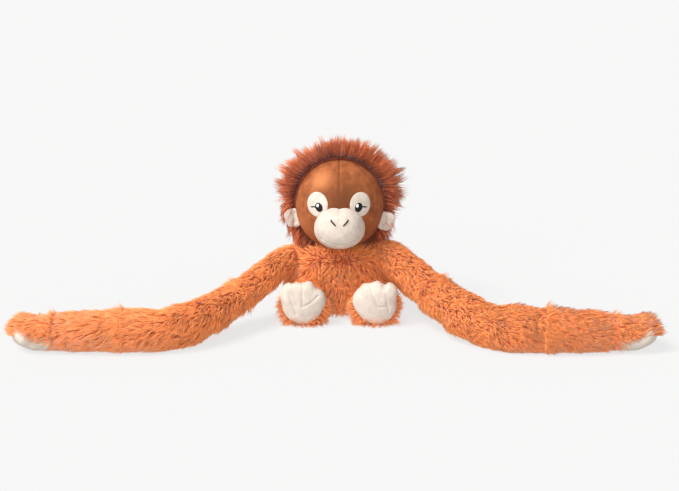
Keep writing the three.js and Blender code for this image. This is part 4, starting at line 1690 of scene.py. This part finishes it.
    def _skull_y(self, x: Array, z: Array) -> Array:
        """The front surface of the skull at some places, seen from the front."""
        rest = 1 - (x / self.half.x) ** 2 - ((z - self.centre.z) / self.half.z) ** 2
        return self.centre.y - self.half.y * np.sqrt(np.maximum(rest, 0.0))

    def _pad(
        self,
        name: str,
        place: tuple[float, float],
        half: tuple[float, float],
        lean: float,
        base: float,
        height: float,
        detail: int = 48,
    ) -> bpy.types.Object:
        """A flat oval that follows the face.

        Args:
            name: The piece's name.
            place: Its middle, across and up.
            half: Half its width and height.
            lean: Degrees by which its top leans to the toy's left.
            base: How far its back lies in front of the face's cloth.
            height: How far its middle stands out.
            detail: Faces around it.

        Returns:
            The piece.
        """
        pad = Bench.ball(name, detail, detail // 2)
        ball = Bench.points(pad)
        angle = math.radians(lean)
        flat = np.sqrt(ball[:, 0] ** 2 + ball[:, 2] ** 2)
        push = np.maximum(flat, 1e-9) ** -0.25
        x, z = ball[:, 0] * push * half[0], ball[:, 2] * push * half[1]
        across = place[0] + x * math.cos(angle) + z * math.sin(angle)
        upward = place[1] - x * math.sin(angle) + z * math.cos(angle)
        y = self._skull_y(across, upward)
        facing = np.maximum(-ball[:, 1], 0)
        y = y - base - height * facing**0.6 + 0.0006 * np.maximum(ball[:, 1], 0)
        Bench.place(pad, np.column_stack([across, y, upward]))
        Bench.turn_out(pad)
        return pad

    def _eye(self, side: Side) -> None:
        """A cream patch with an embroidered eye, its glint and one lash."""
        sign, word = side.sign, side.word
        patch_low, patch_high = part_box(f"eye_patch_{word}")
        low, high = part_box(f"eye_{word}")
        middle = (patch_low + patch_high) / 2
        inward = 0.0022 if side is Side.LEFT else -0.0006
        patch = self._pad(
            f"eye_patch_pad_{word}",
            (middle.x - inward, middle.z),
            ((patch_high.x - patch_low.x) / 2 + 0.0004, (patch_high.z - patch_low.z) / 2),
            0,
            0.0001,
            self.patch_thickness,
            64,
        )
        Bench.smooth(patch, 60)
        Bench.dress(patch, MATERIALS[Slot.CREAM])
        put(patch, "head", Slot.CREAM, f"eye_patch_{word}")
        top = self.patch_thickness
        centre = (low + high) / 2 - Vector((inward, 0, 0))
        eye = self._pad(
            f"eye_thread_{word}",
            (centre.x, centre.z),
            self.eye_half,
            sign * self.eye_lean,
            top - 0.0003,
            0.0011,
        )
        lean = math.radians(self.eye_lean)
        self._ridges(eye, Vector((math.cos(lean), 0, -sign * math.sin(lean))))
        Bench.smooth(eye, 60)
        Bench.dress(eye, MATERIALS[Slot.BLACK])
        put(eye, "head", Slot.BLACK, f"eye_{word}")
        glint = self._pad(
            f"glint_thread_{word}",
            (centre.x - 0.0014, centre.z + 0.0020),
            (0.0014, 0.0020),
            10,
            top + 0.0005,
            0.0009,
            32,
        )
        Bench.smooth(glint, 60)
        Bench.dress(glint, MATERIALS[Slot.WHITE])
        put(glint, "head", Slot.WHITE, f"eye_highlight_{word}")
        lash = [
            Vector((centre.x + sign * (0.0034 + 0.0062 * t), 0, centre.z + 0.0006 - 0.0010 * t))
            for t in np.linspace(0, 1, 8)
        ]
        cord = self._line(f"lash_thread_{word}", lash, 0.0007, lambda x, z: self._skull_y(x, z) - top)
        self._finish_line(f"lash_stitch_{word}", cord)

    @staticmethod
    def _ridges(piece: bpy.types.Object, across: Vector) -> None:
        """Presses satin stitches into an embroidered piece."""
        points = Bench.points(piece)
        wave = np.sin(points @ np.array(across) * 2 * math.pi / 0.00045)
        front = Bench.normals(piece)[:, 1] < -0.3
        points[:, 1] -= np.where(front, 0.00006 * wave, 0)
        Bench.place(piece, points)

    def _finish_line(self, node: str, piece: bpy.types.Object) -> None:
        """Puts a stitched line on the head."""
        Bench.dress(piece, MATERIALS[Slot.BLACK])
        put(piece, "head", Slot.BLACK, node)

    def _line(
        self, name: str, line: list[Vector], radius: float, surface: Callable[[Array, Array], Array]
    ) -> bpy.types.Object:
        """A stitched line that follows a surface, tapered at its ends.

        Args:
            name: The piece's name.
            line: Its points, across and up.
            radius: Half its width.
            surface: How far forward the surface is at some places.

        Returns:
            The piece.
        """
        points = np.array(line)
        points[:, 1] = surface(points[:, 0], points[:, 2]) - radius * 0.35
        course = Course([Vector(point) for point in points])
        cord = Bench.tube(name, 12, 40)

        def section(shares: Array, circle: Array) -> Array:
            """A round that tapers at both ends."""
            ends = np.minimum(shares, 1 - shares) / 0.14
            taper = np.sqrt(np.clip(ends, 0.06, 1))
            return circle * (radius * taper)[:, None]

        course.tube(cord, 0.0, 1.0, section)
        Bench.smooth(cord, 60)
        return cord

    def _nostril(self, side: Side) -> None:
        """A stitched nostril: a slanting line that hooks at its outer top."""
        sign, word = side.sign, side.word
        middle = self.muzzle_middle
        corners = [(0.0040, 0.0078), (0.0066, 0.0104), (0.0090, 0.0130), (0.0098, 0.0152)]
        line = [Vector((sign * x, 0, middle.z + z)) for x, z in corners]

        def surface(x: Array, z: Array) -> Array:
            """The muzzle's front at some places."""
            return np.array([self._hit(self.muzzle, a, b) for a, b in zip(x, z)])

        cord = self._line(f"nostril_thread_{word}", line, 0.00085, surface)
        self._finish_line(f"nostril_stitch_{word}", cord)

    @staticmethod
    def _hit(tree: BVHTree, x: float, z: float) -> float:
        """How far forward a piece reaches at one place."""
        hit = tree.ray_cast(Vector((x, -0.5, z)), Vector((0, 1, 0)))[0]
        return hit.y if hit else 0.0

    def _ear(self, side: Side) -> None:
        """A flat padded ear with a soft fold down its front."""
        sign, word = side.sign, side.word
        low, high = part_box(f"ear_{word}")
        half = (high - low) / 2
        middle = (high + low) / 2
        ear = Bench.ball(f"ear_pad_{word}", 64, 40)
        ball = Bench.points(ear)
        push = squarish(np.arctan2(ball[:, 2], ball[:, 0]), 2.7)
        narrow = 1 + 0.10 * ball[:, 2]
        shape = np.column_stack(
            [ball[:, 0] * push * narrow * half.x, ball[:, 1] * half.y, ball[:, 2] * push * half.z]
        )
        lean = math.radians(sign * self.ear_lean)
        x, z = shape[:, 0].copy(), shape[:, 2].copy()
        shape[:, 0] = x * math.cos(lean) + z * math.sin(lean)
        shape[:, 2] = z * math.cos(lean) - x * math.sin(lean)
        shape[:, 1] -= 0.002 * (shape[:, 0] * sign / half.x) ** 2
        middle += Vector((sign * -0.0026, 0.0015, 0.0032 if side is Side.RIGHT else -0.0008))
        Bench.place(ear, shape + np.array(middle))
        front = middle.y - half.y
        fold = [
            Vector((middle.x - sign * 0.001, front, middle.z + 0.006)),
            Vector((middle.x - sign * 0.002, front, middle.z - 0.004)),
        ]
        dent(ear, fold, 0.0022, 0.0022)
        Bench.smooth(ear, 80)
        Bench.dress(ear, MATERIALS[Slot.CREAM])
        put(ear, "head", Slot.CREAM, f"ear_{word}")


# ---------------------------------------------------------------- the inside and the studio


def dress_insides() -> None:
    """Gives the stuffing and the pouch of pellets, which stay as the frame has them, their finish."""
    fibre, pouch = FIBRE.build(), POUCH.build()
    for name, node in frame["nodes"].items():
        if name.endswith("stuffing"):
            Bench.dress(node, fibre)
        elif name == "bean_bag":
            Bench.dress(node, pouch)


@dataclass
class Studio:
    """A white floor under soft light, and the camera."""

    eye: tuple[float, float, float] = (0, -1.4226, 0.4064)
    aim: tuple[float, float, float] = (0, 0, 0.078)
    lens: float = 64.5

    def build(self) -> None:
        """Makes the floor, the lights and the camera."""
        self._floor()
        self._world()
        self._sun("key", 3.7, 30, (-0.58, -0.34, 0.92), (1.0, 0.985, 0.96))
        self._sun("fill", 1.8, 60, (-0.30, -1.0, 0.30), (1.0, 1.0, 1.0))
        self._camera()

    def _floor(self) -> None:
        """A wide floor, a little bright by itself."""
        Bench.clear()
        bpy.ops.mesh.primitive_plane_add(size=60)
        floor = bpy.context.object
        floor.name = "floor"
        shader = Shader("white_paper")
        white = (1.0, 1.0, 1.0, 1.0)
        shader.set(Base_Color=(0.13, 0.13, 0.13, 1.0), Roughness=1.0, Specular_IOR_Level=0.0)
        shader.set(Emission_Color=white, Emission_Strength=0.725)
        Bench.dress(floor, shader.material)

    @staticmethod
    def _world() -> None:
        """Even light from all around."""
        world = bpy.data.worlds.new("studio")
        bpy.context.scene.world = world
        world.use_nodes = True
        back = world.node_tree.nodes["Background"]
        back.inputs["Color"].default_value = (1.0, 1.0, 1.0, 1.0)
        back.inputs["Strength"].default_value = 0.5

    @staticmethod
    def _sun(
        name: str,
        strength: float,
        spread: float,
        source: tuple[float, float, float],
        colour: tuple[float, float, float],
    ) -> None:
        """A wide soft light.

        Args:
            name: The light's name.
            strength: Its strength.
            spread: Its angle in degrees.
            source: Where it comes from.
            colour: Its colour.
        """
        Bench.clear()
        bpy.ops.object.light_add(type="SUN", location=source)
        light = bpy.context.object
        light.name = name
        light.data.energy = strength
        light.data.angle = math.radians(spread)
        light.data.color = colour
        light.rotation_mode = "QUATERNION"
        light.rotation_quaternion = Vector(source).to_track_quat("Z", "Y")

    def _camera(self) -> None:
        """The camera, a little above the toy."""
        Bench.clear()
        bpy.ops.object.camera_add(location=self.eye)
        camera = bpy.context.object
        camera.name = "camera"
        camera.data.lens = self.lens
        camera.data.sensor_width = 36
        camera.data.clip_end = 100
        toward = Vector(self.aim) - Vector(self.eye)
        camera.rotation_mode = "QUATERNION"
        camera.rotation_quaternion = toward.to_track_quat("-Z", "Y")
        bpy.context.scene.camera = camera
        bpy.context.scene.view_settings.view_transform = "Standard"


MATERIALS: dict[Slot, bpy.types.Material] = {}


def main() -> None:
    """Builds the toy and the studio."""
    logging.basicConfig(level=logging.INFO, format="%(name)s: %(message)s")
    finishes = {
        Slot.PLUSH: PLUSH,
        Slot.MANE: MANE,
        Slot.FACE: FACE,
        Slot.CREAM: CREAM,
        Slot.BLACK: BLACK_THREAD,
        Slot.WHITE: WHITE_THREAD,
    }
    MATERIALS.update({slot: finish.build() for slot, finish in finishes.items()})
    dress_insides()
    Torso().build()
    Head().build()
    Arm(Side.RIGHT, sag=0.006, girth=THIN_ARM).build()
    Arm(Side.LEFT, sag=0.005, girth=FULL_ARM).build()
    for side in Side:
        Hand(side).build()
    Leg(Side.RIGHT, turn=15).build()
    Leg(Side.LEFT, turn=0).build()
    Studio().build()


if __name__ == "__main__":
    main()
